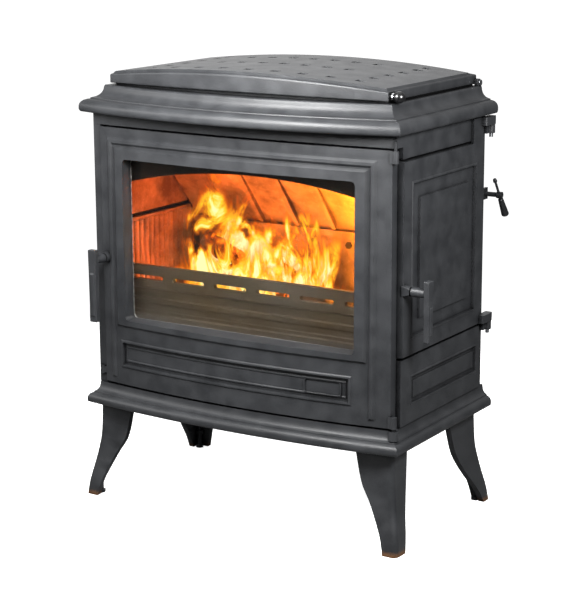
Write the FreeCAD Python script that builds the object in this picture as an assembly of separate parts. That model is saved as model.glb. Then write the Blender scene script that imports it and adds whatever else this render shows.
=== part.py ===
import FreeCAD, Part
import math
import os

# Wood burning stove, free standing on four cast legs. Millimetres.
# Origin: on the floor, under the middle of the stove. +X is the side with the loading door,
# -Y is the front with the glass door, +Z is up.

V = FreeCAD.Vector
os.makedirs("parts", exist_ok=True)

# ---- driving dimensions ------------------------------------------------------------------
BODY_HALF = 351.0            # half width of the casing
BODY_BACK = 187.0            # back face of the casing
FRAME_FRONT = -158.0         # face that the front door's rope seals on
WALL = 14.0                  # thickness of the cast walls
BODY_BOTTOM = 243.5          # top of the base, where the walls stand
BODY_TOP = 809.6             # underside of the top moulding
POST_WIDTH = 18.0            # left front post, beside the door
HEADER_HEIGHT = 27.0         # strip between the front door and the top moulding
SIDE_HEADER_HEIGHT = 48.0    # strip between the side door and the top moulding
REAR_STRIP = 15.0            # strip behind the side door
GAP = 2.0                    # working gap round a door
FIT = 0.05                   # radial clearance of a turning pin
SEAT = 0.3                   # clearance of a soft seal

BASE_HALF = 369.5
BASE_FRONT = -206.5
BASE_BACK = 202.6
BASE_BOTTOM = 199.4
BASE_BOW = 27.0              # how far the front bulges at its middle

MANTLE_HALF = 370.0
MANTLE_FRONT = -205.6
MANTLE_BACK = 205.6
MANTLE_TOP = 863.3
MANTLE_BOW = 50.0
PLATE_HALF = 296.0           # hotplate
PLATE_FRONT = -124.0
PLATE_BACK = 170.0
PLATE_THICK = 8.0
DECK_THICK = 8.0             # ledge of the top moulding that the hotplate rests on

LID_HALF = 321.0
LID_FRONT = -162.4
LID_BACK = 203.0
LID_GAP = 0.4
LID_BOW = 33.0
LID_EDGE_TOP = 885.2         # top of the lid at its left and right ends
LID_RISE = 19.5              # how much higher the middle of the arch is
LID_WALL = 8.0
PANEL_RISE = 5.0             # pierced panel stands this far above the arch
PANEL_INSET = 20.0

DOOR_LEFT = -331.0
DOOR_RIGHT = 345.0
DOOR_BOTTOM = 248.0
DOOR_TOP = 781.0
DOOR_FACE = -187.5           # front face at the door's edges
DOOR_BACK = -168.0
DOOR_BOW_BOTTOM = 27.0
DOOR_BOW_TOP = 16.0
WINDOW_HALF = 271.0
WINDOW_BOTTOM = 386.0
WINDOW_TOP = 719.0
WINDOW_RADIUS = 14.0
WINDOW_BAND = 25.0           # flat band round the glass
BAND_FACE = -190.0           # front face of that band
SILL = 19.0                  # height of the band below the glass
BEAD_ABOVE = 27.0            # from the glass opening up to the bead moulding
BEAD_WIDE = 15.0
PANEL_GROOVE_OUT = (-292.0, 270.0, 282.0, 341.0)
PANEL_GROOVE_IN = (-287.0, 265.0, 287.0, 336.0)
PANEL_FIELD = (-280.0, 258.0, 294.0, 329.0)
PANEL_DEEP = 7.0
PLATE_SIZE = (76.0, 23.0)
PLATE_PLACE = (203.0, 311.5)
GLASS_LAP = 13.0
GLASS_THICK = 4.0
GASKET_THICK = 1.5
ROPE = 9.6                   # width of the rope seals
HINGE_X = 350.5              # front door's axis
HINGE_Y = -185.5
PIN_R = 3.0
KNUCKLE_R = 6.0
KNUCKLE_LONG = 24.0

SIDE_DOOR_FRONT = -165.0
SIDE_DOOR_BACK = BODY_BACK - REAR_STRIP - GAP
SIDE_DOOR_BOTTOM = 381.0
SIDE_DOOR_TOP = 759.0
SIDE_FACE = 357.0
SIDE_HINGE_X = 360.0
SIDE_HINGE_Y = BODY_BACK + 9.0
SIDE_PIN_R = 4.0
SIDE_KNUCKLE_R = 8.0

LEG_TOP_CORNER_FRONT = (350.0, -188.0)
LEG_TOP_CORNER_REAR = (350.0, 170.0)
LEG_FLARE = 25.0             # how far the toe stands out, sideways
LEG_FLARE_Y = 27.0
LEG_WALL = 9.0
LEVEL_R = 5.0

FLUE_Z = 640.0
FLUE_R = 75.0
FLUE_WALL = 4.0
FLUE_LONG = 66.0
FLUE_FREE = 29.0  # plain end that the pipe slides over, beyond the neck
FLUE_NECK = 3.0  # how much thicker the neck with the damper shaft is
FLUE_FLANGE_R = FLUE_R + 21.0
FLUE_FLANGE_THICK = 9.0
DAMPER_R = 5.0
DAMPER_Y = 228.0
DAMPER_END = 366.0
LEVER_TILT = 34.0            # degrees that the damper lever leans back from upright

FLOOR_Z = 316.0              # top of the hearth plate that carries the fire grate
LINER_TOP = 577.0
LINER_INSET = 10.0
REAR_LINER_Y = BODY_BACK - 57.0
GUARD_TOP = 493.0
SLOT_PITCH = 102.0
SLOT_LONG = 77.0
SLOT_HIGH = 9.0
SLOT_Z = 467.5
SLOTS = 6

HOLE = 15.0                  # side of the lid's square holes
HOLE_PITCH = 50.0


# Legs and base bolts
LEG_FLANGE = 8.0
LEG_BOLT_R = 4.0
LEG_BOLT_DEEP = 18.0
# Height, flare as a share of the toe's, wide arm, narrow arm: from the toe up.
FRONT_LEG_STEPS = [(0.0, 1.0, 30.0, 40.0), (30.0, 0.86, 34.0, 42.0), (60.0, 0.6, 41.0, 45.0),
                   (95.0, 0.3, 52.0, 50.0), (130.0, 0.1, 68.0, 55.0), (BASE_BOTTOM, 0.0, 82.0, 60.0)]
REAR_LEG_STEPS = [(0.0, 1.0, 31.0, 40.0), (30.0, 0.86, 44.0, 42.0), (60.0, 0.6, 62.0, 45.0),
                  (95.0, 0.3, 82.0, 50.0), (130.0, 0.1, 98.0, 55.0), (BASE_BOTTOM, 0.0, 120.0, 60.0)]
# Every leg: name, top corner, sign of x, sign of y, arm that is wide, steps.
LEGS = [("leg_front_left", LEG_TOP_CORNER_FRONT, -1, -1, "x", FRONT_LEG_STEPS),
        ("leg_front_right", LEG_TOP_CORNER_FRONT, 1, -1, "x", FRONT_LEG_STEPS),
        ("leg_rear_left", LEG_TOP_CORNER_REAR, -1, 1, "y", REAR_LEG_STEPS),
        ("leg_rear_right", LEG_TOP_CORNER_REAR, 1, 1, "y", REAR_LEG_STEPS)]

# Openings of the casing, as (low, high) pairs across and upwards
FRAME_BACK = FRAME_FRONT + 18.0
OPENING_HALF = 300.0
FRONT_OPENING = (-OPENING_HALF, OPENING_HALF, 262.0, 738.0)
SIDE_OPENING = (-98.0, BODY_BACK - 49.0, 405.0, 735.0)
SIDE_IN = BODY_HALF - WALL - 17.0        # inner face of the right side frame
SIDE_OUT = SIDE_IN + WALL                # face that the side door's rope seals on

# Lid hinge and knob
LID_PIN_R = 4.0
LID_LUG_R = 8.5
LID_LUG_WIDE = 8.5
LID_HINGE_Y = LID_BACK - 3.0
LID_HINGE_Z = MANTLE_TOP + 6.4
KNOB_Y = -148.0
KNOB_Z = 875.0

# Handles
HANDLE_X = -320.0
HANDLE_Z = 513.0
HANDLE_R = 6.0
GRIP_WIDE = 19.0
GRIP_THICK = 12.0
TONGUE = 10.5
TONGUE_HALF = 4.5
SIDE_HANDLE_Y = -157.0
SIDE_HANDLE_Z = 513.0

# Side door seal and arm
SIDE_ROPE_THICK = 6.0
SIDE_INNER = SIDE_OUT + SEAT + SIDE_ROPE_THICK     # back face of the side door
SIDE_ARM_X = BODY_HALF + 1.0

# Firebox
HEARTH_THICK = 10.0
GRATE_HALF = (130.0, 85.0)
PAN_HALF = 152.0
PAN_FLOOR = 262.8
PAN_TOP = 300.0
RIBS = 14
BAFFLE_REAR = (REAR_LINER_Y, 554.0)
BAFFLE_FRONT = (-30.0, 735.0)
BAFFLE_THICK = 9.0

# Flue and air inlet
FLUE_BOLT_R = FLUE_R + 11.0
FLUE_BOLT_SHANK = 3.0
FLUE_GASKET = 1.5
DAMPER_PLATE_R = FLUE_R - FLUE_WALL - 2.0
DAMPER_PLATE_THICK = 3.0
BRACKET_X = BODY_HALF - 22.0
SHUTTER_SLOTS = (-45.0, 15.0)
SHUTTER_SLOT_LONG = 26.0
SHUTTER_TRAVEL = 30.0        # slides left from open to shut


# ---- small helpers -----------------------------------------------------------------------
def save(name, *solids):
    """Write one node; several solids stay separate in it."""
    shape = solids[0] if len(solids) == 1 else Part.makeCompound(list(solids))
    shape.exportStep(f"parts/{name}.step")


def box(x0, x1, y0, y1, z0, z1):
    """Box between two corners."""
    return Part.makeBox(x1 - x0, y1 - y0, z1 - z0, V(x0, y0, z0))


def rod(radius, start, axis, length):
    """Cylinder from a start point along an axis."""
    return Part.makeCylinder(radius, length, V(*start), V(*axis))


def ring(outer, inner, start, axis, length):
    """Tube or washer."""
    return rod(outer, start, axis, length).cut(rod(inner, start, axis, length))


def hexagon(across, start, axis, length):
    """Hexagon bar, for nuts and bolt heads, by its width across flats."""
    radius = across / math.sqrt(3.0)
    corners = [V(radius * math.cos(math.radians(60 * i)), radius * math.sin(math.radians(60 * i)), 0)
               for i in range(7)]
    prism = Part.Face(Part.makePolygon(corners)).extrude(V(0, 0, length))
    prism.Placement = FreeCAD.Placement(V(*start), FreeCAD.Rotation(V(0, 0, 1), V(*axis)))
    return prism


def bowed_wire(x0, x1, front, back, bow, z):
    """Rectangle seen from above, whose front edge is an arc that bulges by bow."""
    left, right = V(x0, front, z), V(x1, front, z)
    edges = [Part.Arc(left, V((x0 + x1) / 2, front - bow, z), right).toShape(),
             Part.makeLine(right, V(x1, back, z)),
             Part.makeLine(V(x1, back, z), V(x0, back, z)),
             Part.makeLine(V(x0, back, z), left)]
    return Part.Wire(edges)


def bowed_prism(x0, x1, front, back, bow, z0, z1):
    """Upright block with a bulging front."""
    return Part.Face(bowed_wire(x0, x1, front, back, bow, z0)).extrude(V(0, 0, z1 - z0))


def moulding(half, front, back, bow, steps):
    """Block with a flat back whose other sides follow a profile of (inset, height) steps, upwards."""
    wires = [bowed_wire(inset - half, half - inset, front + inset, back, bow, z)
             for inset, z in steps]
    return Part.makeLoft(wires, True, True)


def arc_steps(inset0, z0, inset1, z1, hollow, count=5):
    """Steps along a quarter of an ellipse between two profile points."""
    steps = []
    for i in range(count + 1):
        a = math.radians(90.0 * i / count)
        u, w = (1 - math.cos(a), math.sin(a)) if not hollow else (math.sin(a), 1 - math.cos(a))
        steps.append((inset0 + (inset1 - inset0) * u, z0 + (z1 - z0) * w))
    return steps


def rounded_y(x0, x1, z0, z1, radius, y0, y1):
    """Block along Y with four rounded upright corners, as a window opening."""
    block = box(x0, x1, y0, y1, z0, z1)
    edges = [e for e in block.Edges if abs(e.tangentAt(e.FirstParameter).y) > 0.99]
    return block.makeFillet(radius, edges)


def frame_y(outer, inner, y0, y1):
    """Picture frame in the XZ plane, from two (x0, x1, z0, z1) rectangles."""
    return box(outer[0], outer[1], y0, y1, outer[2], outer[3]).cut(
        box(inner[0], inner[1], y0 - 1, y1 + 1, inner[2], inner[3]))


def frame_x(outer, inner, x0, x1):
    """Picture frame in the YZ plane, from two (y0, y1, z0, z1) rectangles."""
    return box(x0, x1, outer[0], outer[1], outer[2], outer[3]).cut(
        box(x0 - 1, x1 + 1, inner[0], inner[1], inner[2], inner[3]))


def raised_x(y0, y1, z0, z1, slope, x0, x1):
    """Raised panel on a +X face: its edge slopes in by slope from x0 to x1."""
    wires = []
    for x, s in ((x0, 0.0), (x1, slope)):
        wires.append(Part.makePolygon([V(x, y0 + s, z0 + s), V(x, y1 - s, z0 + s), V(x, y1 - s, z1 - s),
                                       V(x, y0 + s, z1 - s), V(x, y0 + s, z0 + s)]))
    return Part.makeLoft(wires, True, True)


def raised_y(x0, x1, z0, z1, slope, y0, y1):
    """Raised or sunk panel along Y: its edge slopes in by slope from y0 to y1."""
    wires = []
    for y, s in ((y0, 0.0), (y1, slope)):
        wires.append(Part.makePolygon([V(x0 + s, y, z0 + s), V(x1 - s, y, z0 + s), V(x1 - s, y, z1 - s),
                                       V(x0 + s, y, z1 - s), V(x0 + s, y, z0 + s)]))
    return Part.makeLoft(wires, True, True)


# ---- base and legs -----------------------------------------------------------------------


def leg_section(corner, sx, sy, wide, step):
    """L-shaped outline of a leg at one height, with its outer corner rounded."""
    z, flare, wide_arm, narrow_arm = step
    arm_x, arm_y = (wide_arm, narrow_arm) if wide == "x" else (narrow_arm, wide_arm)
    cx = sx * corner[0] + sx * LEG_FLARE * flare
    cy = corner[1] + sy * LEG_FLARE_Y * flare
    bend = 9.0

    def at(inward_x, inward_y):
        return V(cx - sx * inward_x, cy - sy * inward_y, z)

    mid = bend * (1 - math.sqrt(0.5))
    points = [at(0, bend), at(0, arm_y), at(LEG_WALL, arm_y), at(LEG_WALL, LEG_WALL),
              at(arm_x, LEG_WALL), at(arm_x, 0), at(bend, 0)]
    edges = [Part.makeLine(points[i], points[i + 1]) for i in range(6)]
    edges.append(Part.Arc(points[6], at(mid, mid), points[0]).toShape())
    return Part.Wire(edges)


def level_spot(corner, sx, sy):
    """Where a leg's levelling bolt stands, seen from above."""
    return (sx * corner[0] + sx * LEG_FLARE - sx * 24.0, corner[1] + sy * LEG_FLARE_Y - sy * 24.0)


def bolt_spots(corner, sx, sy, wide, steps):
    """The two bolts that hold a leg's flange to the base."""
    far = steps[-1][2] - 18.0
    near, side = 24.0, 24.0
    if wide == "x":
        spots = [(near, side), (far, side)]
    else:
        spots = [(side, near), (side, far)]
    return [(sx * corner[0] - sx * a, corner[1] - sy * b) for a, b in spots]


def make_leg(corner, sx, sy, wide, steps):
    """Hollow cast leg: two walls that taper and flare, a bolting flange and a levelling lug."""
    wires = [leg_section(corner, sx, sy, wide, s) for s in steps]
    leg = Part.makeLoft(wires, True, False)
    wide_arm, narrow_arm = steps[-1][2], steps[-1][3]
    arm_x, arm_y = (wide_arm, narrow_arm) if wide == "x" else (narrow_arm, wide_arm)
    cx, cy = sx * corner[0], corner[1]
    xs = sorted((cx - sx * 1.0, cx - sx * arm_x))
    ys = sorted((cy - sy * 1.0, cy - sy * arm_y))
    flange = box(xs[0], xs[1], ys[0], ys[1], BASE_BOTTOM - LEG_FLANGE, BASE_BOTTOM)
    edges = [e for e in flange.Edges if abs(e.tangentAt(e.FirstParameter).z) > 0.99
             and abs(e.CenterOfMass.x - (cx - sx)) < 0.1 and abs(e.CenterOfMass.y - (cy - sy)) < 0.1]
    leg = leg.fuse(flange.makeFillet(9.0, edges))
    lx, ly = level_spot(corner, sx, sy)
    lug_x = sorted((lx - sx * 11.0, lx + sx * 18.0))
    lug_y = sorted((ly - sy * 11.0, ly + sy * 18.0))
    leg = leg.fuse(box(lug_x[0], lug_x[1], lug_y[0], lug_y[1], 40.0, 50.0).common(
        leg_envelope(corner, sx, sy)))
    leg = leg.cut(rod(LEVEL_R, (lx, ly, 30.0), (0, 0, 1), 40.0))
    for x, y in bolt_spots(corner, sx, sy, wide, steps):
        leg = leg.cut(rod(LEG_BOLT_R, (x, y, BASE_BOTTOM - LEG_FLANGE - 5), (0, 0, 1), LEG_FLANGE + 10))
    return leg.removeSplitter()


def leg_envelope(corner, sx, sy):
    """Space inside the leg's outer corner at the lug's height, so that the lug stays behind the wall."""
    flare = 0.72
    x_out = sx * (corner[0] + LEG_FLARE * flare) - sx * 2.0
    y_out = corner[1] + sy * LEG_FLARE_Y * flare - sy * 2.0
    xs = sorted((x_out, x_out - sx * 120.0))
    ys = sorted((y_out, y_out - sy * 120.0))
    return box(xs[0], xs[1], ys[0], ys[1], 0.0, BASE_BOTTOM)


def make_base():
    """Base plate: a moulded, bulging skirt with a flat top, hollow between its four bolting corners."""
    steps = [(2.0, BASE_BOTTOM), (0.3, 202.5), (0.0, 206.0), (0.6, 214.0), (3.0, 221.0), (6.0, 224.0),
             (9.5, 226.0), (11.5, 230.0), (15.0, 236.0), (18.5, BODY_BOTTOM)]
    base = moulding(BASE_HALF, BASE_FRONT, BASE_BACK, BASE_BOW, steps)
    pocket_top = BODY_BOTTOM - 9.0
    below = BASE_BOTTOM - 1.0
    base = base.cut(box(-262, 262, -192, 188, below, pocket_top))
    base = base.cut(box(-354, 354, -120, 40, below, pocket_top))
    base = base.fuse(rod(KNUCKLE_R, (HINGE_X, HINGE_Y, BODY_BOTTOM - 6), (0, 0, 1),
                         DOOR_BOTTOM - 0.6 - BODY_BOTTOM + 6))
    base = base.cut(rod(PIN_R, (HINGE_X, HINGE_Y, BODY_BOTTOM - 12), (0, 0, 1), 40))
    for _, corner, sx, sy, wide, steps in LEGS:
        for x, y in bolt_spots(corner, sx, sy, wide, steps):
            base = base.cut(rod(LEG_BOLT_R, (x, y, BASE_BOTTOM - 1), (0, 0, 1), LEG_BOLT_DEEP + 1))
    return base


def build_stand():
    """Base plate, legs, their bolts and the levelling bolts."""
    save("base_plate", make_base())
    bolts, levels, nuts = [], [], []
    for name, corner, sx, sy, wide, steps in LEGS:
        save(name, make_leg(corner, sx, sy, wide, steps))
        for x, y in bolt_spots(corner, sx, sy, wide, steps):
            head = BASE_BOTTOM - LEG_FLANGE - 5.5
            bolts.append(hexagon(13.0, (x, y, head), (0, 0, 1), 5.5).fuse(
                rod(LEG_BOLT_R, (x, y, head), (0, 0, 1), 5.5 + LEG_FLANGE + LEG_BOLT_DEEP - 1)))
        x, y = level_spot(corner, sx, sy)
        levels.append(rod(LEVEL_R, (x, y, 0), (0, 0, 1), 66.0).fuse(
            hexagon(16.0, (x, y, 0), (0, 0, 1), 6.5)))
        nuts.append(hexagon(16.0, (x, y, 31.5), (0, 0, 1), 8.5).cut(
            rod(LEVEL_R, (x, y, 30), (0, 0, 1), 12)))
    save("leg_bolts", *bolts)
    save("levelling_bolts", *levels)
    save("levelling_nuts", *nuts)


# ---- casing ------------------------------------------------------------------------------


def make_front_frame():
    """Front of the casing: opening behind the glass door, left post and header strip."""
    plate = frame_y((-BODY_HALF, SIDE_OUT, BODY_BOTTOM, BODY_TOP), FRONT_OPENING, FRAME_FRONT, FRAME_BACK)
    post = box(-BODY_HALF, -BODY_HALF + POST_WIDTH, -183.0, FRAME_FRONT, BODY_BOTTOM, BODY_TOP)
    header_z = BODY_TOP - HEADER_HEIGHT + GAP
    header = bowed_prism(-BODY_HALF, BODY_HALF, -183.0, FRAME_FRONT, DOOR_BOW_TOP, header_z, BODY_TOP)
    corner = box(SIDE_OUT, BODY_HALF, FRAME_FRONT, FRAME_BACK, BODY_TOP - SIDE_HEADER_HEIGHT, BODY_TOP)
    frame = plate.fuse([post, header, corner])
    # Small round lugs where the casing's halves meet, low and high on the left corner.
    for z in (BODY_BOTTOM + 14.0, BODY_TOP - 22.0):
        frame = frame.fuse(rod(5.0, (-BODY_HALF, -174.0, z), (0, 0, 1), 12.0))
    frame = frame.cut(rod(PIN_R, (HINGE_X, HINGE_Y, header_z - 1), (0, 0, 1), 14.0))
    return frame.removeSplitter()


def make_right_frame():
    """Right side of the casing: opening behind the side door, header strip and rear strip."""
    plate = frame_x((FRAME_BACK, BODY_BACK, BODY_BOTTOM, BODY_TOP), SIDE_OPENING, SIDE_IN, SIDE_OUT)
    header = box(SIDE_OUT, BODY_HALF, FRAME_BACK, BODY_BACK, BODY_TOP - SIDE_HEADER_HEIGHT, BODY_TOP)
    strip = box(SIDE_OUT, BODY_HALF, BODY_BACK - REAR_STRIP, BODY_BACK, BODY_BOTTOM,
                BODY_TOP - SIDE_HEADER_HEIGHT)
    frame = plate.fuse([header, strip])
    for z0, z1 in side_lug_spans():
        frame = frame.fuse(make_side_lug(z0, z1))
    return frame.removeSplitter()


def side_lug_spans():
    """Heights of the casing's hinge lugs, each directly below a knuckle of the side door."""
    return [(365.0, 383.0), (771.0, 789.0)]


def side_knuckle_spans():
    """Heights of the side door's knuckles, one resting on each lug."""
    return [(z1 + 0.3, z1 + 17.0) for _, z1 in side_lug_spans()]


def make_side_lug(z0, z1):
    """Barrel with a foot that joins it to the casing's rear strip."""
    barrel = rod(SIDE_KNUCKLE_R, (SIDE_HINGE_X, SIDE_HINGE_Y, z0), (0, 0, 1), z1 - z0)
    foot = box(BODY_HALF - 8, SIDE_HINGE_X, BODY_BACK - REAR_STRIP + 5, SIDE_HINGE_Y, z0, z1)
    pin_way = rod(SIDE_PIN_R, (SIDE_HINGE_X, SIDE_HINGE_Y, z0 - 1), (0, 0, 1), z1 - z0 + 2)
    return barrel.fuse(foot).cut(pin_way)


def make_back_panel():
    """Back casting with the flue hole and the air inlet."""
    panel = box(-BODY_HALF + WALL, SIDE_IN, BODY_BACK - 12, BODY_BACK, BODY_BOTTOM, BODY_TOP)
    panel = panel.cut(rod(FLUE_R - FLUE_WALL, (0, BODY_BACK - 20, FLUE_Z), (0, 1, 0), 40))
    for angle in range(45, 360, 90):
        a = math.radians(angle)
        x, z = FLUE_BOLT_R * math.cos(a), FLUE_Z + FLUE_BOLT_R * math.sin(a)
        panel = panel.cut(rod(FLUE_BOLT_SHANK, (x, BODY_BACK - 13, z), (0, 1, 0), 20))
    for x in SHUTTER_SLOTS:
        panel = panel.cut(box(x, x + SHUTTER_SLOT_LONG, BODY_BACK - 20, BODY_BACK + 5, 262, 284))
    return panel


def build_casing():
    """The walls of the stove and the fixed lower panel."""
    save("front_frame", make_front_frame())
    save("left_side_panel", make_left_side())
    save("right_side_frame", make_right_frame())
    save("back_panel", make_back_panel())
    low_top = SIDE_DOOR_BOTTOM - 4.0
    panel = box(SIDE_OUT, SIDE_FACE - 3.0, SIDE_DOOR_FRONT, BODY_BACK - REAR_STRIP - 1.0,
                BODY_BOTTOM + 2.0, low_top)
    panel = panel.cut(raised_x(-123.0, BODY_BACK - 31.0, 283.0, 338.0, 6.0, SIDE_FACE - 2.99, SIDE_FACE - 8.0))
    panel = panel.fuse(raised_x(-112.0, BODY_BACK - 42.0, 294.0, 327.0, 4.0, SIDE_FACE - 8.5, SIDE_FACE - 5.5))
    save("right_lower_panel", panel)


def make_left_side():
    """Left casting, with the same moulded panels as the right side."""
    side = box(-BODY_HALF, -BODY_HALF + WALL, FRAME_BACK, BODY_BACK, BODY_BOTTOM, BODY_TOP)
    for y0, y1, z0, z1 in ((-110.0, 150.0, 420.0, 712.0), (-110.0, 150.0, 283.0, 338.0)):
        recess = raised_x(y0, y1, z0, z1, 6.0, 0.0, -5.0)
        recess = recess.mirror(V(0, 0, 0), V(1, 0, 0))
        recess.translate(V(-BODY_HALF, 0, 0))
        side = side.cut(recess)
        if z1 - z0 > 100:
            field = raised_x(y0 + 32, y1 - 32, z0 + 42, z1 - 42, 5.0, -5.2, -1.0)
            field = field.mirror(V(0, 0, 0), V(1, 0, 0))
            field.translate(V(-BODY_HALF, 0, 0))
            side = side.fuse(field)
    return side


# ---- top ---------------------------------------------------------------------------------
def build_top():
    """Top moulding, hotplate and the hinged, pierced lid with its knob."""
    steps = [(1.0, BODY_TOP), (0.0, 812.0)] + arc_steps(0.0, 820.0, 15.8, 837.0, False)
    steps += [(17.0, 838.5), (26.0, 839.5)] + arc_steps(26.4, 841.6, 38.5, MANTLE_TOP, False)
    steps = [s for i, s in enumerate(steps) if i == 0 or s[1] > steps[i - 1][1] + 0.05]
    mantle = moulding(MANTLE_HALF, MANTLE_FRONT, MANTLE_BACK, MANTLE_BOW, steps)
    ledge = MANTLE_TOP - 4.0 - PLATE_THICK
    mantle = mantle.cut(box(-PLATE_HALF + 14, PLATE_HALF - 14, PLATE_FRONT + 14, PLATE_BACK - 14,
                            BODY_TOP - 1, ledge + 1))
    mantle = mantle.cut(box(-PLATE_HALF, PLATE_HALF, PLATE_FRONT, PLATE_BACK, ledge, MANTLE_TOP + 1))
    mantle = mantle.cut(box(-BODY_HALF + WALL + 4, SIDE_IN - 4, FRAME_BACK + 3, BODY_BACK - WALL,
                            BODY_TOP - 1, ledge - DECK_THICK))
    for side in (-1, 1):
        mantle = mantle.fuse(make_lid_lug(side))
    save("top_moulding", mantle)
    plate = box(-PLATE_HALF + 1, PLATE_HALF - 1, PLATE_FRONT + 1, PLATE_BACK - 1, ledge, ledge + PLATE_THICK)
    plate = plate.cut(ring(92.0, 88.0, (0, 20, ledge + PLATE_THICK - 2), (0, 0, 1), 4))
    save("hotplate", plate)
    save("top_lid", make_lid())
    lug_out = LID_HALF + 1.5 + LID_LUG_WIDE
    pins = []
    for side in (-1, 1):
        start = (side * lug_out, LID_HINGE_Y, LID_HINGE_Z)
        pins.append(rod(LID_PIN_R, start, (-side, 0, 0), 26).fuse(rod(6.2, start, (side, 0, 0), 2.4)))
    save("lid_hinge_pins", *pins)
    stem_x = LID_HALF - 14.0
    save("lid_knob_stem", rod(3.2, (stem_x, KNOB_Y, KNOB_Z), (1, 0, 0), 26.0).fuse(
        rod(5.4, (stem_x + 16.5, KNOB_Y, KNOB_Z), (1, 0, 0), 2.6)))
    ball = Part.makeSphere(11.0, V(stem_x + 29.0, KNOB_Y, KNOB_Z)).cut(
        rod(3.2, (stem_x, KNOB_Y, KNOB_Z), (1, 0, 0), 26.0))
    ball = ball.cut(box(stem_x, stem_x + 19.2, KNOB_Y - 20, KNOB_Y + 20, KNOB_Z - 20, KNOB_Z + 20))
    save("lid_knob", ball)


def arch_radius():
    """Radius of the lid's arch, from its width and rise."""
    return (LID_HALF ** 2 + LID_RISE ** 2) / (2 * LID_RISE)


def arch_body(lift):
    """Long barrel whose top is the lid's arch, moved up by lift."""
    radius = arch_radius()
    centre = LID_EDGE_TOP + LID_RISE - radius
    return rod(radius + lift, (0, -400, centre), (0, 1, 0), 800)


def hole_places():
    """Centres of the lid's square holes: a front row, two rows behind it and two side columns."""
    front_y = LID_FRONT + 38.0
    places = [(60.0 * i, front_y - 16.0 * (1 - (i / 4.0) ** 2)) for i in range(-4, 5)]
    for y in (-12.0, 103.0):
        places += [(HOLE_PITCH * i, y) for i in range(-3, 4)]
    for x in (-240.0, 240.0):
        places += [(x, y) for y in (-70.0, -12.0, 46.0, 103.0, 145.0)]
    return places


def make_lid():
    """Arched cover, hollow below, with a raised panel pierced by square holes."""
    bottom = MANTLE_TOP + LID_GAP
    outer = bowed_prism(-LID_HALF, LID_HALF, LID_FRONT, LID_BACK, LID_BOW, bottom, LID_EDGE_TOP + 60)
    lid = outer.common(arch_body(0.0))
    i = PANEL_INSET
    panel = bowed_prism(-LID_HALF + i, LID_HALF - i, LID_FRONT + i, LID_BACK - i, LID_BOW, bottom + 5,
                        LID_EDGE_TOP + 60).common(arch_body(PANEL_RISE))
    lid = lid.fuse(panel)
    w = LID_WALL
    inner = bowed_prism(-LID_HALF + w, LID_HALF - w, LID_FRONT + w, LID_BACK - w, LID_BOW, bottom - 1,
                        LID_EDGE_TOP + 60).common(arch_body(-w + PANEL_RISE / 2))
    lid = lid.cut(inner)
    for x, y in hole_places():
        lid = lid.cut(box(x - HOLE / 2, x + HOLE / 2, y - HOLE / 2, y + HOLE / 2, bottom + 12,
                          LID_EDGE_TOP + 60))
    # Notch at the front right corner, where the knob's stem comes out of its boss.
    boss = box(LID_HALF - 22, LID_HALF - 4, KNOB_Y - 9, KNOB_Y + 9, bottom, KNOB_Z + 9)
    lid = lid.fuse(boss)
    lid = lid.cut(rod(3.2, (LID_HALF - 14.0, KNOB_Y, KNOB_Z), (1, 0, 0), 40))
    for side in (-1, 1):
        x0, x1 = sorted((side * (LID_HALF - 22.0), side * (LID_HALF - 4.0)))
        lid = lid.fuse(box(x0, x1, LID_BACK - 12.0, LID_BACK - 0.5, LID_HINGE_Z - 4.0, LID_HINGE_Z + 8.0))
    for side in (-1, 1):
        lid = lid.cut(rod(LID_PIN_R + FIT, (side * (LID_HALF - 30.0), LID_HINGE_Y, LID_HINGE_Z),
                          (side, 0, 0), 40))
    lid = lid.cut(box(-LID_HALF - 1, LID_HALF + 1, LID_HINGE_Y - 8.0, LID_BACK + 1, bottom - 1,
                      LID_HINGE_Z - 4.0))
    return lid.removeSplitter()


def make_lid_lug(side):
    """Upright ear on the top moulding, outside the lid's end, that carries one of its pins."""
    x0, x1 = sorted((side * (LID_HALF + 1.5), side * (LID_HALF + 1.5 + LID_LUG_WIDE)))
    lug = rod(LID_LUG_R, (x0, LID_HINGE_Y, LID_HINGE_Z), (1, 0, 0), x1 - x0)
    lug = lug.fuse(box(x0, x1, LID_HINGE_Y - LID_LUG_R, LID_HINGE_Y + 5.0, MANTLE_TOP - 10, LID_HINGE_Z))
    lug = lug.common(box(x0, x1, 0, MANTLE_BACK, MANTLE_TOP - 10, LID_HINGE_Z + 30))
    return lug.cut(rod(LID_PIN_R, (x0 - 1, LID_HINGE_Y, LID_HINGE_Z), (1, 0, 0), x1 - x0 + 2))


# ---- front door --------------------------------------------------------------------------
def door_block(offset, back):
    """The door's full outline, with its bulging face moved back by offset."""
    wires = [bowed_wire(DOOR_LEFT, DOOR_RIGHT, DOOR_FACE + offset, back, bow, z)
             for bow, z in ((DOOR_BOW_BOTTOM, DOOR_BOTTOM), (DOOR_BOW_TOP, DOOR_TOP))]
    return Part.makeLoft(wires, True, True)


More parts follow.
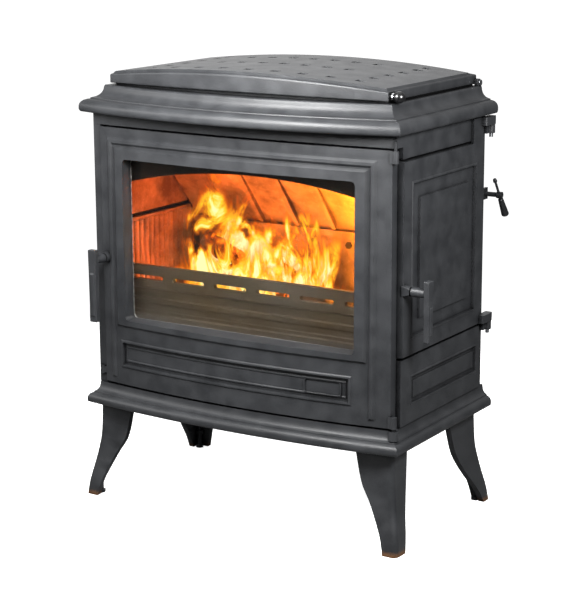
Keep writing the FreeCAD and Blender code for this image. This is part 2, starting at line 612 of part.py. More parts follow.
def make_front_door():
    """Door casting: bulging face, bead moulding, flat band round the glass and a sunk lower panel."""
    door = door_block(4.0, DOOR_BACK)
    face = door_block(0.0, DOOR_BACK)
    bead_in = WINDOW_HALF + WINDOW_BAND + 3.0
    bead_out = bead_in + BEAD_WIDE
    bead_top = WINDOW_TOP + BEAD_ABOVE
    bead = frame_y((-bead_out, bead_out, DOOR_BOTTOM, bead_top + BEAD_WIDE),
                   (-bead_in, bead_in, DOOR_BOTTOM - 1, bead_top), -260.0, DOOR_BACK - 4.0)
    edge = frame_y((DOOR_LEFT, DOOR_RIGHT, DOOR_BOTTOM, DOOR_TOP),
                   (DOOR_LEFT + 9.0, DOOR_RIGHT - 15.0, DOOR_BOTTOM + 12.0, DOOR_TOP - 11.0),
                   -260.0, DOOR_BACK - 4.0)
    door = door.fuse(face.common(bead)).fuse(face.common(edge))
    low = box(-bead_in, bead_in, -260.0, DOOR_BACK - 4.0, DOOR_BOTTOM, WINDOW_BOTTOM - SILL)
    low = low.cut(frame_y(PANEL_GROOVE_OUT, PANEL_GROOVE_IN, -260.0, DOOR_BACK))
    door = door.fuse(door_block(1.5, DOOR_BACK).common(low))
    band = WINDOW_HALF + WINDOW_BAND
    door = door.cut(box(-band, band, -260.0, BAND_FACE, WINDOW_BOTTOM - SILL, WINDOW_TOP + BEAD_ABOVE - 5.0))
    x0, x1, z0, z1 = PANEL_FIELD
    sunk = box(x0, x1, -260.0, -150.0, z0, z1).common(door_block(0.0, DOOR_BACK))
    door = door.cut(sunk.cut(door_block(PANEL_DEEP, DOOR_BACK)))
    door = door.cut(rounded_y(-WINDOW_HALF, WINDOW_HALF, WINDOW_BOTTOM, WINDOW_TOP, WINDOW_RADIUS,
                              -270.0, -150.0))
    for z0, z1 in door_knuckle_spans():
        door = door.fuse(rod(KNUCKLE_R, (HINGE_X, HINGE_Y, z0), (0, 0, 1), z1 - z0))
    for z0, z1 in door_knuckle_spans():
        door = door.cut(rod(PIN_R + FIT, (HINGE_X, HINGE_Y, z0 - 2), (0, 0, 1), z1 - z0 + 4))
    door = door.cut(rod(HANDLE_R + FIT, (HANDLE_X, -260.0, HANDLE_Z), (0, 1, 0), 120.0))
    boss = rod(11.5, (HANDLE_X, DOOR_FACE - 14.0, HANDLE_Z), (0, 1, 0), 20.0).cut(
        rod(HANDLE_R + FIT, (HANDLE_X, -260.0, HANDLE_Z), (0, 1, 0), 120.0))
    return door.fuse(boss).removeSplitter()


def door_knuckle_spans():
    """Heights of the door's two knuckles."""
    return [(DOOR_BOTTOM, DOOR_BOTTOM + KNUCKLE_LONG), (DOOR_TOP - KNUCKLE_LONG, DOOR_TOP)]


def build_front_door():
    """Front door with its glass, seals, clips, blank plate and hinge pins."""
    save("front_door_frame", make_front_door())
    glass_front = DOOR_BACK + GASKET_THICK
    lap = WINDOW_HALF + GLASS_LAP
    z0, z1 = WINDOW_BOTTOM - GLASS_LAP, WINDOW_TOP + GLASS_LAP
    save("door_glass", box(-lap, lap, glass_front, glass_front + GLASS_THICK, z0, z1))
    save("glass_gasket", rounded_y(-lap, lap, z0, z1, 6.0, DOOR_BACK, glass_front).cut(
        rounded_y(-WINDOW_HALF, WINDOW_HALF, WINDOW_BOTTOM, WINDOW_TOP, WINDOW_RADIUS, DOOR_BACK - 1, -150)))
    clips, screws = [], []
    back = glass_front + GLASS_THICK
    for x in (-190.0, 0.0, 190.0):
        for z_edge, s in ((z0, -1), (z1, 1)):
            zs = sorted((z_edge - s * 8.0, z_edge + s * 14.0))
            clip = box(x - 11, x + 11, back, back + 2.0, zs[0], zs[1])
            foot = sorted((z_edge + s * 1.0, z_edge + s * 14.0))
            clip = clip.fuse(box(x - 11, x + 11, DOOR_BACK, back + 2.0, foot[0], foot[1]))
            z_screw = z_edge + s * 8.0
            clips.append(clip.cut(rod(2.5, (x, DOOR_BACK - 1, z_screw), (0, 1, 0), 20)))
            screws.append(rod(2.5, (x, DOOR_BACK, z_screw), (0, 1, 0), back + 2.0 - DOOR_BACK).fuse(
                rod(4.2, (x, back + 2.0, z_screw), (0, 1, 0), 0.9)))
    save("glass_clips", *clips)
    save("glass_clip_screws", *screws)
    rope_out = OPENING_HALF + 1.4 + ROPE
    rope_z = (DOOR_BOTTOM + 2.5, FRONT_OPENING[3] + 10.0 + ROPE)
    save("front_door_rope", frame_y((-rope_out, rope_out, rope_z[0], rope_z[1]),
                                    (ROPE - rope_out, rope_out - ROPE, rope_z[0] + ROPE, rope_z[1] - ROPE),
                                    DOOR_BACK, FRAME_FRONT - SEAT))
    x, z = PLATE_PLACE
    wide, high = PLATE_SIZE
    plate_y = door_face_at(x, z) + PANEL_DEEP
    save("door_plate", raised_y(x - wide / 2, x + wide / 2, z - high / 2, z + high / 2, 2.5,
                                plate_y + 1.5, plate_y - 5.0).cut(door_block(PANEL_DEEP, DOOR_BACK)))
    header_z = BODY_TOP - HEADER_HEIGHT + GAP
    save("front_door_pins",
         rod(PIN_R, (HINGE_X, HINGE_Y, BODY_BOTTOM - 12), (0, 0, 1),
             DOOR_BOTTOM + KNUCKLE_LONG - 2 - BODY_BOTTOM + 12),
         rod(PIN_R, (HINGE_X, HINGE_Y, DOOR_TOP - KNUCKLE_LONG + 2), (0, 0, 1),
             header_z + 13.0 - DOOR_TOP + KNUCKLE_LONG - 2))


def door_face_at(x, z):
    """Y of the door's bulging face at one place."""
    middle = (DOOR_LEFT + DOOR_RIGHT) / 2
    half = (DOOR_RIGHT - DOOR_LEFT) / 2
    up = (z - DOOR_BOTTOM) / (DOOR_TOP - DOOR_BOTTOM)
    bow = DOOR_BOW_BOTTOM + (DOOR_BOW_TOP - DOOR_BOW_BOTTOM) * up
    return DOOR_FACE - bow * (1 - ((x - middle) / half) ** 2)


def make_grip(length_up, length_down):
    """Flat bar of a handle, at the origin, hanging along -Z in front of a spindle along +Y."""
    half, thick = GRIP_WIDE / 2, GRIP_THICK
    grip = box(-half, half, -thick, 0, -length_down, length_up)
    edges = [e for e in grip.Edges if abs(e.tangentAt(e.FirstParameter).z) > 0.99]
    grip = grip.makeFillet(3.0, edges)
    grip = grip.cut(box(-2.5, 2.5, -thick - 1, -thick + 2.0, -length_down + 10, -18))
    return grip.cut(rod(HANDLE_R, (0, -thick * 0.6, 0), (0, 1, 0), 30))


def build_front_handle():
    """Spindle with its latch tongue, the flat grip that hangs on it, and the keeper on the frame."""
    grip_back = DOOR_FACE - 42.0
    spindle = rod(HANDLE_R, (HANDLE_X, grip_back - GRIP_THICK * 0.6, HANDLE_Z), (0, 1, 0),
                  DOOR_BACK + 5.4 - grip_back + GRIP_THICK * 0.6)
    tongue = box(HANDLE_X - TONGUE, HANDLE_X, DOOR_BACK + 0.4, DOOR_BACK + 5.4,
                 HANDLE_Z - TONGUE_HALF, HANDLE_Z + TONGUE_HALF)
    save("front_handle_spindle", spindle.fuse(tongue))
    grip = make_grip(22.0, 128.0)
    grip.translate(V(HANDLE_X, grip_back, HANDLE_Z))
    save("front_handle_grip", grip)
    front_keeper = box(HANDLE_X - TONGUE, HANDLE_X + 8.0, DOOR_BACK + 6.2, FRAME_FRONT,
                       HANDLE_Z - 13, HANDLE_Z + 13)
    side_keeper = box(SIDE_OUT, SIDE_OUT + 0.9, SIDE_HANDLE_Y - 1, SIDE_HANDLE_Y + 16,
                      SIDE_HANDLE_Z - 13, SIDE_HANDLE_Z + 13)
    save("latch_keepers", front_keeper, side_keeper)


# ---- side door ---------------------------------------------------------------------------


def make_side_door():
    """Side door casting: raised border, sunk field, raised panel and two hinge knuckles."""
    y0, y1, z0, z1 = SIDE_DOOR_FRONT, SIDE_DOOR_BACK, SIDE_DOOR_BOTTOM, SIDE_DOOR_TOP
    door = box(SIDE_INNER, SIDE_FACE - 3.0, y0, y1, z0, z1)
    door = door.fuse(raised_x(y0 + 5, y1 - 5, z0 + 5, z1 - 5, 3.0, SIDE_FACE - 3.5, SIDE_FACE))
    door = door.cut(raised_x(-126.0, y1 - 36.0, 420.0, 712.0, 7.0, SIDE_FACE + 0.01, SIDE_FACE - 6.0))
    door = door.fuse(raised_x(-95.0, y1 - 70.0, 463.0, 674.0, 8.0, SIDE_FACE - 6.5, SIDE_FACE - 1.5))
    for k0, k1 in side_knuckle_spans():
        door = door.fuse(rod(SIDE_KNUCKLE_R, (SIDE_HINGE_X, SIDE_HINGE_Y, k0), (0, 0, 1), k1 - k0))
        door = door.fuse(box(SIDE_ARM_X, SIDE_HINGE_X + 2, y1 - 12, SIDE_HINGE_Y, k0, k1))
    top_knuckle = side_knuckle_spans()[1][1]
    door = door.fuse(box(SIDE_ARM_X, SIDE_FACE, y1 - 45, y1 - 2, z1 - 12, top_knuckle))
    for k0, k1 in side_knuckle_spans():
        door = door.cut(rod(SIDE_PIN_R + FIT, (SIDE_HINGE_X, SIDE_HINGE_Y, k0 - 1), (0, 0, 1), k1 - k0 + 2))
    door = door.fuse(rod(11.5, (SIDE_FACE - 4, SIDE_HANDLE_Y, SIDE_HANDLE_Z), (1, 0, 0), 17.0).common(
        box(0, 500, y0 + 0.5, 0, 0, 1000)))
    door = door.cut(rod(HANDLE_R + FIT, (SIDE_INNER - 5, SIDE_HANDLE_Y, SIDE_HANDLE_Z), (1, 0, 0), 60))
    return door.removeSplitter()


def build_side_door():
    """Loading door on the right, its seal, liner, pins and handle."""
    save("side_door_panel", make_side_door())
    y0, y1, z0, z1 = SIDE_OPENING
    o, i = ROPE + 1.4, 1.4
    save("side_door_rope", frame_x((y0 - o, y1 + o, z0 - o, z1 + o), (y0 - i, y1 + i, z0 - i, z1 + i),
                                   SIDE_OUT + SEAT, SIDE_INNER))
    liner = box(SIDE_IN + 2, SIDE_IN + 6, y0 + 6, y1 - 6, z0 + 6, z1 - 6)
    for y in (y0 + 30, y1 - 30):
        for z in (z0 + 30, z1 - 30):
            liner = liner.fuse(rod(5.0, (SIDE_IN + 5, y, z), (1, 0, 0), SIDE_INNER - SIDE_IN - 5))
    save("side_door_liner", liner)
    save("side_door_pins", *[rod(SIDE_PIN_R, (SIDE_HINGE_X, SIDE_HINGE_Y, k0 - 8.0), (0, 0, 1), 42.5)
                             for k0, _ in side_lug_spans()])
    grip_x = SIDE_FACE + 44.0
    start = SIDE_OUT + 1.4
    spindle = rod(HANDLE_R, (start, SIDE_HANDLE_Y, SIDE_HANDLE_Z), (1, 0, 0),
                  grip_x - start + GRIP_THICK * 0.6)
    tongue = box(start, SIDE_INNER - 0.4, SIDE_HANDLE_Y, SIDE_HANDLE_Y + TONGUE,
                 SIDE_HANDLE_Z - TONGUE_HALF, SIDE_HANDLE_Z + TONGUE_HALF)
    save("side_handle_spindle", spindle.fuse(tongue))
    grip = make_grip(24.0, 94.0)
    grip.rotate(V(0, 0, 0), V(0, 0, 1), 90)
    grip.translate(V(grip_x, SIDE_HANDLE_Y, SIDE_HANDLE_Z))
    save("side_handle_grip", grip)


# ---- firebox -----------------------------------------------------------------------------


def sloped(x0, x1, start, end, thick):
    """Plate across the stove between two (y, z) points of its underside."""
    points = [start, end, (end[0], end[1] + thick), (start[0], start[1] + thick), start]
    face = Part.Face(Part.makePolygon([V(x0, y, z) for y, z in points]))
    return face.extrude(V(x1 - x0, 0, 0))


def build_firebox():
    """Hearth, grate, ash pan, liners, baffle, log guard and air deflector."""
    left_in, right_in = -BODY_HALF + WALL, SIDE_IN
    gx, gy = GRATE_HALF
    hearth = box(left_in, right_in, FRAME_BACK, BODY_BACK - 12, FLOOR_Z - HEARTH_THICK, FLOOR_Z)
    hearth = hearth.cut(box(-gx - 1, gx + 1, -gy - 1, gy + 1, FLOOR_Z - 6, FLOOR_Z + 1))
    hearth = hearth.cut(box(-gx + 9, gx - 9, -gy + 9, gy - 9, FLOOR_Z - 11, FLOOR_Z))
    save("hearth_plate", hearth)
    grate = box(-gx, gx, -gy, gy, FLOOR_Z - 6, FLOOR_Z)
    for i in range(-6, 7):
        grate = grate.cut(box(i * 18 - 4, i * 18 + 4, -gy + 14, gy - 14, FLOOR_Z - 7, FLOOR_Z + 1))
    save("fire_grate", grate)
    low, top = BODY_BOTTOM, FLOOR_Z - HEARTH_THICK
    side = PAN_HALF + 3.0
    ash_box = box(-side - 8, side + 8, FRAME_BACK, 128.0, low, top)
    ash_box = ash_box.cut(box(-side, side, FRAME_BACK - 1, 120.0, PAN_FLOOR - 0.3, top + 1))
    save("ash_box", ash_box.cut(box(-side + 20, side - 20, FRAME_BACK - 1, 100.0, low - 1, PAN_FLOOR - 4)))
    pan = box(-PAN_HALF, PAN_HALF, FRAME_BACK - 4, 116.0, PAN_FLOOR, PAN_TOP)
    pan = pan.cut(box(-PAN_HALF + 2, PAN_HALF - 2, FRAME_BACK - 2, 114.0, PAN_FLOOR + 2, PAN_TOP + 1))
    save("ash_pan", pan.fuse(box(-30, 30, FRAME_BACK - 14, FRAME_BACK - 4, PAN_TOP - 14, PAN_TOP - 10)))
    liner = box(left_in + 3, left_in + 3 + LINER_INSET, FRAME_BACK + 4, REAR_LINER_Y - 4, FLOOR_Z, LINER_TOP)
    pitch = (REAR_LINER_Y - 4 - FRAME_BACK - 4 - 16) / RIBS
    for i in range(RIBS):
        y = FRAME_BACK + 12 + pitch * (i + 0.5)
        liner = liner.fuse(rod(pitch * 0.32, (left_in + 3 + LINER_INSET, y, FLOOR_Z + 8), (0, 0, 1),
                               LINER_TOP - FLOOR_Z - 14))
    save("left_side_liner", liner)
    side_clear = LINER_INSET + 12.0
    rear = box(left_in + 2, right_in - 2, REAR_LINER_Y, REAR_LINER_Y + 10, FLOOR_Z, 640.0)
    rear = rear.fuse(box(left_in + side_clear, right_in - 4, REAR_LINER_Y - 14, REAR_LINER_Y,
                         BAFFLE_REAR[1] - 13, BAFFLE_REAR[1] - 1))
    spots = [(-20.0, 522.0), (70.0, 522.0)]
    for x, z in spots:
        rear = rear.cut(rod(4.0, (x, REAR_LINER_Y - 20, z), (0, 1, 0), 60))
    save("rear_liner", rear)
    save("rear_liner_bolts", *[rod(4.0, (x, REAR_LINER_Y, z), (0, 1, 0), BODY_BACK - 12 - REAR_LINER_Y).fuse(
        hexagon(13.0, (x, REAR_LINER_Y - 5, z), (0, 1, 0), 5.0)) for x, z in spots])
    baffle = sloped(left_in + side_clear, right_in - 4, (REAR_LINER_Y - 1, BAFFLE_REAR[1]), BAFFLE_FRONT,
                    BAFFLE_THICK)
    for x in (-225.0, -135.0, -45.0, 45.0, 135.0, 225.0):
        baffle = baffle.fuse(sloped(x - 5, x + 5, (REAR_LINER_Y - 20, BAFFLE_REAR[1] + 2),
                                    (BAFFLE_FRONT[0] + 14, BAFFLE_FRONT[1] - 16), 14.0))
    save("baffle_plate", baffle.removeSplitter())
    save("baffle_bar", box(left_in, right_in, BAFFLE_FRONT[0] - 1.0, BAFFLE_FRONT[0] + 9.0,
                           BAFFLE_FRONT[1] - 21.0, BAFFLE_FRONT[1] - 11.0))
    deflector = box(-305, 305, FRAME_BACK, FRAME_BACK + 4, 650.0, 752.0)
    half, rise = 296.0, 36.0
    radius = (half ** 2 + rise ** 2) / (2 * rise)
    deflector = deflector.cut(rod(radius, (0, FRAME_BACK - 5, 700.0 - radius), (0, 1, 0), 20))
    save("air_deflector", deflector)
    save("log_guard", make_log_guard())


def make_log_guard():
    """Slotted rail that keeps the logs off the glass, with a stepped skirt down to the hearth."""
    y = FRAME_BACK
    outline = [(y + 2, GUARD_TOP), (y + 12, GUARD_TOP), (y + 12, FLOOR_Z), (y + 0.5, FLOOR_Z),
               (y + 0.5, 392), (y + 3, 397), (y + 3, 414), (y + 6, 424), (y + 6, 446), (y + 2, 452),
               (y + 2, GUARD_TOP)]
    x0, x1 = -BODY_HALF + WALL + 20, SIDE_IN - 4
    face = Part.Face(Part.makePolygon([V(x0, py, pz) for py, pz in outline]))
    guard = face.extrude(V(x1 - x0, 0, 0))
    for i in range(SLOTS):
        x = (i - (SLOTS - 1) / 2) * SLOT_PITCH
        guard = guard.cut(box(x - SLOT_LONG / 2, x + SLOT_LONG / 2, y - 5, y + 30,
                              SLOT_Z - SLOT_HIGH / 2, SLOT_Z + SLOT_HIGH / 2))
    return guard


# ---- flue, damper and air inlet ----------------------------------------------------------


def lever_piece(radius, length, up):
    """Bar of the damper lever, leaning back by the lever's tilt."""
    a = math.radians(LEVER_TILT)
    sign = 1 if up else -1
    axis = (0, -math.sin(a) * sign, math.cos(a) * sign)
    return rod(radius, (DAMPER_END, DAMPER_Y, FLUE_Z), axis, length)


def build_flue():
    """Flue collar on the back, its damper with the long rod and lever, and the air shutter."""
    y0 = BODY_BACK + FLUE_GASKET
    inner = FLUE_R - FLUE_WALL
    collar = ring(FLUE_FLANGE_R, inner, (0, y0, FLUE_Z), (0, 1, 0), FLUE_FLANGE_THICK)
    long = FLUE_FLANGE_THICK + FLUE_LONG
    neck = ring(FLUE_R + FLUE_NECK, inner, (0, y0, FLUE_Z), (0, 1, 0), long - FLUE_FREE)
    collar = collar.fuse([neck, ring(FLUE_R, inner, (0, y0, FLUE_Z), (0, 1, 0), long)]).removeSplitter()
    collar = collar.cut(rod(DAMPER_R + FIT, (-120, DAMPER_Y, FLUE_Z), (1, 0, 0), 240))
    gasket = ring(FLUE_FLANGE_R, inner, (0, BODY_BACK, FLUE_Z), (0, 1, 0), FLUE_GASKET)
    bolts = []
    for angle in range(45, 360, 90):
        a = math.radians(angle)
        x, z = FLUE_BOLT_R * math.cos(a), FLUE_Z + FLUE_BOLT_R * math.sin(a)
        hole = rod(FLUE_BOLT_SHANK, (x, BODY_BACK - 20, z), (0, 1, 0), 60)
        collar, gasket = collar.cut(hole), gasket.cut(hole)
        end = y0 + FLUE_FLANGE_THICK
        bolts.append(rod(FLUE_BOLT_SHANK, (x, BODY_BACK - 12, z), (0, 1, 0), end - BODY_BACK + 12).fuse(
            hexagon(10.0, (x, end, z), (0, 1, 0), 4.0)))
    save("flue_collar", collar)
    save("flue_gasket", gasket)
    save("flue_bolts", *bolts)
    shaft = rod(DAMPER_R, (-FLUE_R - 7.0, DAMPER_Y, FLUE_Z), (1, 0, 0), DAMPER_END + FLUE_R + 2.0)
    disc = rod(DAMPER_PLATE_R, (0, DAMPER_Y - DAMPER_PLATE_THICK / 2, FLUE_Z), (0, 1, 0), DAMPER_PLATE_THICK)
    disc.rotate(V(0, DAMPER_Y, FLUE_Z), V(1, 0, 0), LEVER_TILT)
    save("damper_shaft", shaft.cut(disc))
    save("damper_plate", disc)
    hub = rod(7.0, (DAMPER_END - 5.0, DAMPER_Y, FLUE_Z), (1, 0, 0), 11.0)
    lever = hub.fuse([lever_piece(2.6, 44.0, True), lever_piece(3.4, 16.0, False)]).cut(
        rod(DAMPER_R, (0, DAMPER_Y, FLUE_Z), (1, 0, 0), DAMPER_END - 5.0))
    grip = lever_piece(5.6, 50.0, False).cut(lever_piece(3.4, 16.0, False))
    grip = grip.cut(lever_piece(20.0, 12.0, False))
    save("damper_lever", lever)
    save("damper_grip", grip)
    bracket = box(BRACKET_X, BRACKET_X + 5, BODY_BACK, DAMPER_Y + 12, FLUE_Z - 12, FLUE_Z + 12)
    bracket = bracket.fuse(box(BRACKET_X - 14, BRACKET_X, BODY_BACK, BODY_BACK + 4, FLUE_Z - 12, FLUE_Z + 12))
    save("damper_bracket", bracket.cut(rod(DAMPER_R + FIT, (0, DAMPER_Y, FLUE_Z), (1, 0, 0), 400)))
    plate_y = BODY_BACK + 0.3
    plate = box(-80, 60, plate_y, plate_y + 3, 256, 290)
    for x in SHUTTER_SLOTS:
        plate = plate.cut(box(x, x + SHUTTER_SLOT_LONG, plate_y - 1, plate_y + 5, 262, 284))
    save("air_shutter", plate.fuse(rod(4.0, (-70, plate_y + 2, 273), (0, 1, 0), 14)))
    knob = rod(11.0, (-70, plate_y + 10, 273), (0, 1, 0), 12.0)
    knob = knob.cut(rod(4.0, (-70, plate_y, 273), (0, 1, 0), 16))
    save("air_shutter_knob", knob)
    rails = []
    x0, x1 = -80 - SHUTTER_TRAVEL - 5, 65
    for z0, z1, lip0, lip1 in ((249.5, 255.7, 249.5, 259.0), (290.3, 296.5, 287.0, 296.5)):
        rails.append(box(x0, x1, BODY_BACK, plate_y + 3.3, z0, z1).fuse(
            box(x0, x1, plate_y + 3.3, plate_y + 5.3, lip0, lip1)))
    save("shutter_rails", *rails)


build_stand()
build_casing()
build_top()
build_front_door()
build_front_handle()
build_side_door()
build_firebox()
build_flue()
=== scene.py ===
import logging
import math
from dataclasses import dataclass
from enum import Enum
from typing import Callable, Optional, Sequence

import bmesh
import bpy
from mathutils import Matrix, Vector


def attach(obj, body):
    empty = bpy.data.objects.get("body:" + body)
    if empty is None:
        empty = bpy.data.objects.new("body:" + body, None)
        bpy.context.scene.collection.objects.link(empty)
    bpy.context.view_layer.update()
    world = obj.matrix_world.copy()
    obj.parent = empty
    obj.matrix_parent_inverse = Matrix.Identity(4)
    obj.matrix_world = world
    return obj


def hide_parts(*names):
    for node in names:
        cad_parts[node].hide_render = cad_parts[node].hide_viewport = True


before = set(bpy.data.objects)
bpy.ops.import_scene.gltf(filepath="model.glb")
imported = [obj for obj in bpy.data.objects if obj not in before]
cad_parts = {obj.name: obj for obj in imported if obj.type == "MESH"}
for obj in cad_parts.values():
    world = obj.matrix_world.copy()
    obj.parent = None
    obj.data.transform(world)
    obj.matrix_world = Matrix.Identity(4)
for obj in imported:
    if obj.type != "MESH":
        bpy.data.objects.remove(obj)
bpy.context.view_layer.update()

# Cast iron stove on four legs. Sizes in the classes are in millimetres; Blender works in metres.
# +X is the side with the loading door, -Y the front with the glass door, +Z is up.
MM = 0.001
PIN_X, PIN_Y = 350.5, -185.5    # the front door's hinge axis
SPINDLE_Z = 513.0               # height of both handles' spindles
log = logging.getLogger("stove")

Span = tuple[float, float]
Point = tuple[float, float, float]
Place = Callable[[Vector, Vector], bool]


class Kind(Enum):
    """What is picked in edit mode."""
    POINT = "VERT"
    EDGE = "EDGE"
    FACE = "FACE"


class Way(Enum):
    """The three directions of the stove."""
    X = 0
    Y = 1
    Z = 2


class Join(Enum):
    """How one casting is joined to or cut by another."""
    CUT = "DIFFERENCE"
    WELD = "UNION"


# ---- workshop tools ----------------------------------------------------------------------
def only(piece: bpy.types.Object) -> None:
    """Makes one piece the only selected one, in object mode.

    Args:
        piece: The piece to work on.
    """
    if bpy.context.object is not None and bpy.context.object.mode != "OBJECT":
        bpy.ops.object.mode_set(mode="OBJECT")
    bpy.ops.object.select_all(action="DESELECT")
    piece.select_set(True)
    bpy.context.view_layer.objects.active = piece


def edit(piece: bpy.types.Object) -> None:
    """Opens a piece in edit mode."""
    only(piece)
    bpy.ops.object.mode_set(mode="EDIT")


def close() -> None:
    """Goes back to object mode."""
    bpy.ops.object.mode_set(mode="OBJECT")


def take_all() -> None:
    """Selects all of the open piece."""
    bpy.ops.mesh.select_all(action="SELECT")


def face_out() -> None:
    """Turns every face of the open piece outwards."""
    take_all()
    bpy.ops.mesh.normals_make_consistent(inside=False)


def fresh_one(kind: Callable, **how: object) -> bpy.types.Object:
    """Adds a new thing with nothing else selected.

    Args:
        kind: The operator that adds it.
        how: The operator's own settings.

    Returns:
        The new thing.
    """
    bpy.ops.object.select_all(action="DESELECT")
    kind(**how)
    return bpy.context.object


def harden(piece: bpy.types.Object, *names: str) -> None:
    """Applies modifiers of a piece, in the order given.

    Args:
        piece: The piece.
        names: Names of its modifiers.
    """
    only(piece)
    for name in names:
        bpy.ops.object.modifier_apply(modifier=name)


def settle(piece: bpy.types.Object, name: str) -> bpy.types.Object:
    """Puts a piece's place into its mesh and names it.

    Args:
        piece: The piece.
        name: Its new name.

    Returns:
        The same piece.
    """
    only(piece)
    bpy.ops.object.transform_apply(location=True, rotation=True, scale=True)
    piece.name = piece.data.name = name
    return piece


def block(name: str, x: Span, y: Span, z: Span) -> bpy.types.Object:
    """Starts a casting as a block between two corners.

    Args:
        name: Name of the piece.
        x: Left and right, in mm.
        y: Front and back, in mm.
        z: Bottom and top, in mm.

    Returns:
        The block.
    """
    middle = [(a + b) / 2 * MM for a, b in (x, y, z)]
    piece = fresh_one(bpy.ops.mesh.primitive_cube_add, size=1, location=middle)
    piece.scale = [(b - a) * MM for a, b in (x, y, z)]
    return settle(piece, name)


def bar(name: str, near: Point, way: Way, radius: float, length: float, sides: int = 32,
        end_radius: Optional[float] = None) -> bpy.types.Object:
    """Starts a turned piece as a straight or tapered bar.

    Args:
        name: Name of the piece.
        near: Centre of its first end, in mm.
        way: The direction it runs in.
        radius: Radius at the first end, in mm.
        length: Length, in mm.
        sides: Number of facets.
        end_radius: Radius at the other end, the same if left out.

    Returns:
        The bar.
    """
    middle = Vector(near)
    middle[way.value] += length / 2
    turn = {Way.X: (0, math.pi / 2, 0), Way.Y: (-math.pi / 2, 0, 0), Way.Z: (0, 0, 0)}[way]
    far = radius if end_radius is None else end_radius
    piece = fresh_one(bpy.ops.mesh.primitive_cone_add, vertices=sides, radius1=radius * MM,
                      radius2=far * MM, depth=length * MM, location=middle * MM, rotation=turn)
    return settle(piece, name)


def pick(piece: bpy.types.Object, kind: Kind, wanted: Place, among: bool = False) -> int:
    """Selects the points, edges or faces of a piece in edit mode by their place.

    Args:
        piece: The piece, open in edit mode.
        kind: What to select.
        wanted: Test of a centre in mm and a direction.
        among: Only keep what is already selected.

    Returns:
        How many were selected.
    """
    bpy.ops.mesh.select_mode(type=kind.value)
    mesh = bmesh.from_edit_mesh(piece.data)
    mesh.normal_update()
    things = {Kind.POINT: mesh.verts, Kind.EDGE: mesh.edges, Kind.FACE: mesh.faces}[kind]
    before = {thing.index for thing in things if thing.select} if among else set()
    for group in (mesh.faces, mesh.edges, mesh.verts):
        for thing in group:
            thing.select = False
    count = 0
    for thing in things:
        if among and thing.index not in before:
            continue
        if kind is Kind.FACE:
            centre, way = thing.calc_center_median(), thing.normal
        elif kind is Kind.EDGE:
            ends = [v.co for v in thing.verts]
            centre, way = (ends[0] + ends[1]) / 2, (ends[1] - ends[0]).normalized()
        else:
            centre, way = thing.co, thing.normal
        if wanted(centre / MM, way):
            thing.select_set(True)
            count += 1
    mesh.select_flush_mode()
    bmesh.update_edit_mesh(piece.data)
    return count


def slice_at(piece: bpy.types.Object, way: Way, places: Sequence[float]) -> None:
    """Cuts new edges right round a piece.

    Args:
        piece: The piece.
        way: Direction that the cutting planes face.
        places: Where each plane stands, in mm.
    """
    edit(piece)
    facing = [0.0, 0.0, 0.0]
    facing[way.value] = 1.0
    for place in places:
        take_all()
        bpy.ops.mesh.bisect(plane_co=[place * MM * f for f in facing], plane_no=facing)
    close()


def raise_faces(piece: bpy.types.Object, wanted: Place, height: float, draft: float = 0.0) -> None:
    """Raises or sinks a field of a casting, with drafted sides.

    Args:
        piece: The piece.
        wanted: Which faces make the field.
        height: How far it stands out, in mm; less than nothing sinks it.
        draft: How far its sides lean in, in mm.
    """
    edit(piece)
    pick(piece, Kind.FACE, wanted)
    bpy.ops.mesh.inset(thickness=max(draft, 0.01) * MM, depth=height * MM, use_even_offset=True)
    close()


def raise_fields(piece: bpy.types.Object, way: Way, side: int,
                 rows: Sequence[tuple[Span, Span, float, float]]) -> None:
    """Raises or sinks fields on one upright side of a casting, in the order given.

    Args:
        piece: The piece.
        way: Direction that the side faces.
        side: 1 or -1, which of its two sides.
        rows: Each field's span along the side and its span upwards, then its height and draft, in mm.
    """
    for along, up, height, draft in rows:
        x, y = (along, None) if way is Way.Y else (None, along)
        raise_faces(piece, lambda c, w: w[way.value] * side > 0.9 and within(c, x, y, up), height, draft)


def round_edges(piece: bpy.types.Object, wanted: Place, width: float, rings: int) -> None:
    """Rounds chosen edges of a piece.

    Args:
        piece: The piece.
        wanted: Which edges.
        width: Width of the rounding, in mm.
        rings: Facets across it.
    """
    edit(piece)
    pick(piece, Kind.EDGE, wanted)
    bpy.ops.mesh.bevel(offset=width * MM, segments=rings, affect="EDGES")
    close()


def cage(piece: bpy.types.Object, low: Point, high: Point, cells: tuple[int, int, int],
         shift: Callable[[Point], Point]) -> None:
    """Bends a piece with a lattice.

    Args:
        piece: The piece.
        low: Lowest corner of the lattice, in mm.
        high: Highest corner, in mm.
        cells: Number of lattice points each way.
        shift: Gives how far a lattice point moves, in mm, from where it is.
    """
    centre = [(a + b) / 2 for a, b in zip(low, high)]
    size = [b - a for a, b in zip(low, high)]
    net = fresh_one(bpy.ops.object.add, type="LATTICE", location=[c * MM for c in centre])
    net.scale = [s * MM for s in size]
    net.data.points_u, net.data.points_v, net.data.points_w = cells
    for axis in "uvw":
        setattr(net.data, f"interpolation_type_{axis}", "KEY_LINEAR")
    for knot in net.data.points:
        at = [c + k * s for c, k, s in zip(centre, knot.co, size)]
        move = shift(tuple(at))
        knot.co_deform = [k + m / s for k, m, s in zip(knot.co, move, size)]
    piece.modifiers.new("bend", "LATTICE").object = net
    harden(piece, "bend")
    bpy.data.objects.remove(net)


def unite(piece: bpy.types.Object, tool: bpy.types.Object, how: Join) -> None:
    """Welds or cuts a piece with another, which is used up.

    Args:
        piece: The piece that stays.
        tool: The piece that is used up.
        how: Weld or cut.
    """
    cut = piece.modifiers.new("cut", "BOOLEAN")
    cut.operation, cut.object, cut.solver = how.value, tool, "EXACT"
    harden(piece, "cut")
    bpy.data.objects.remove(tool)


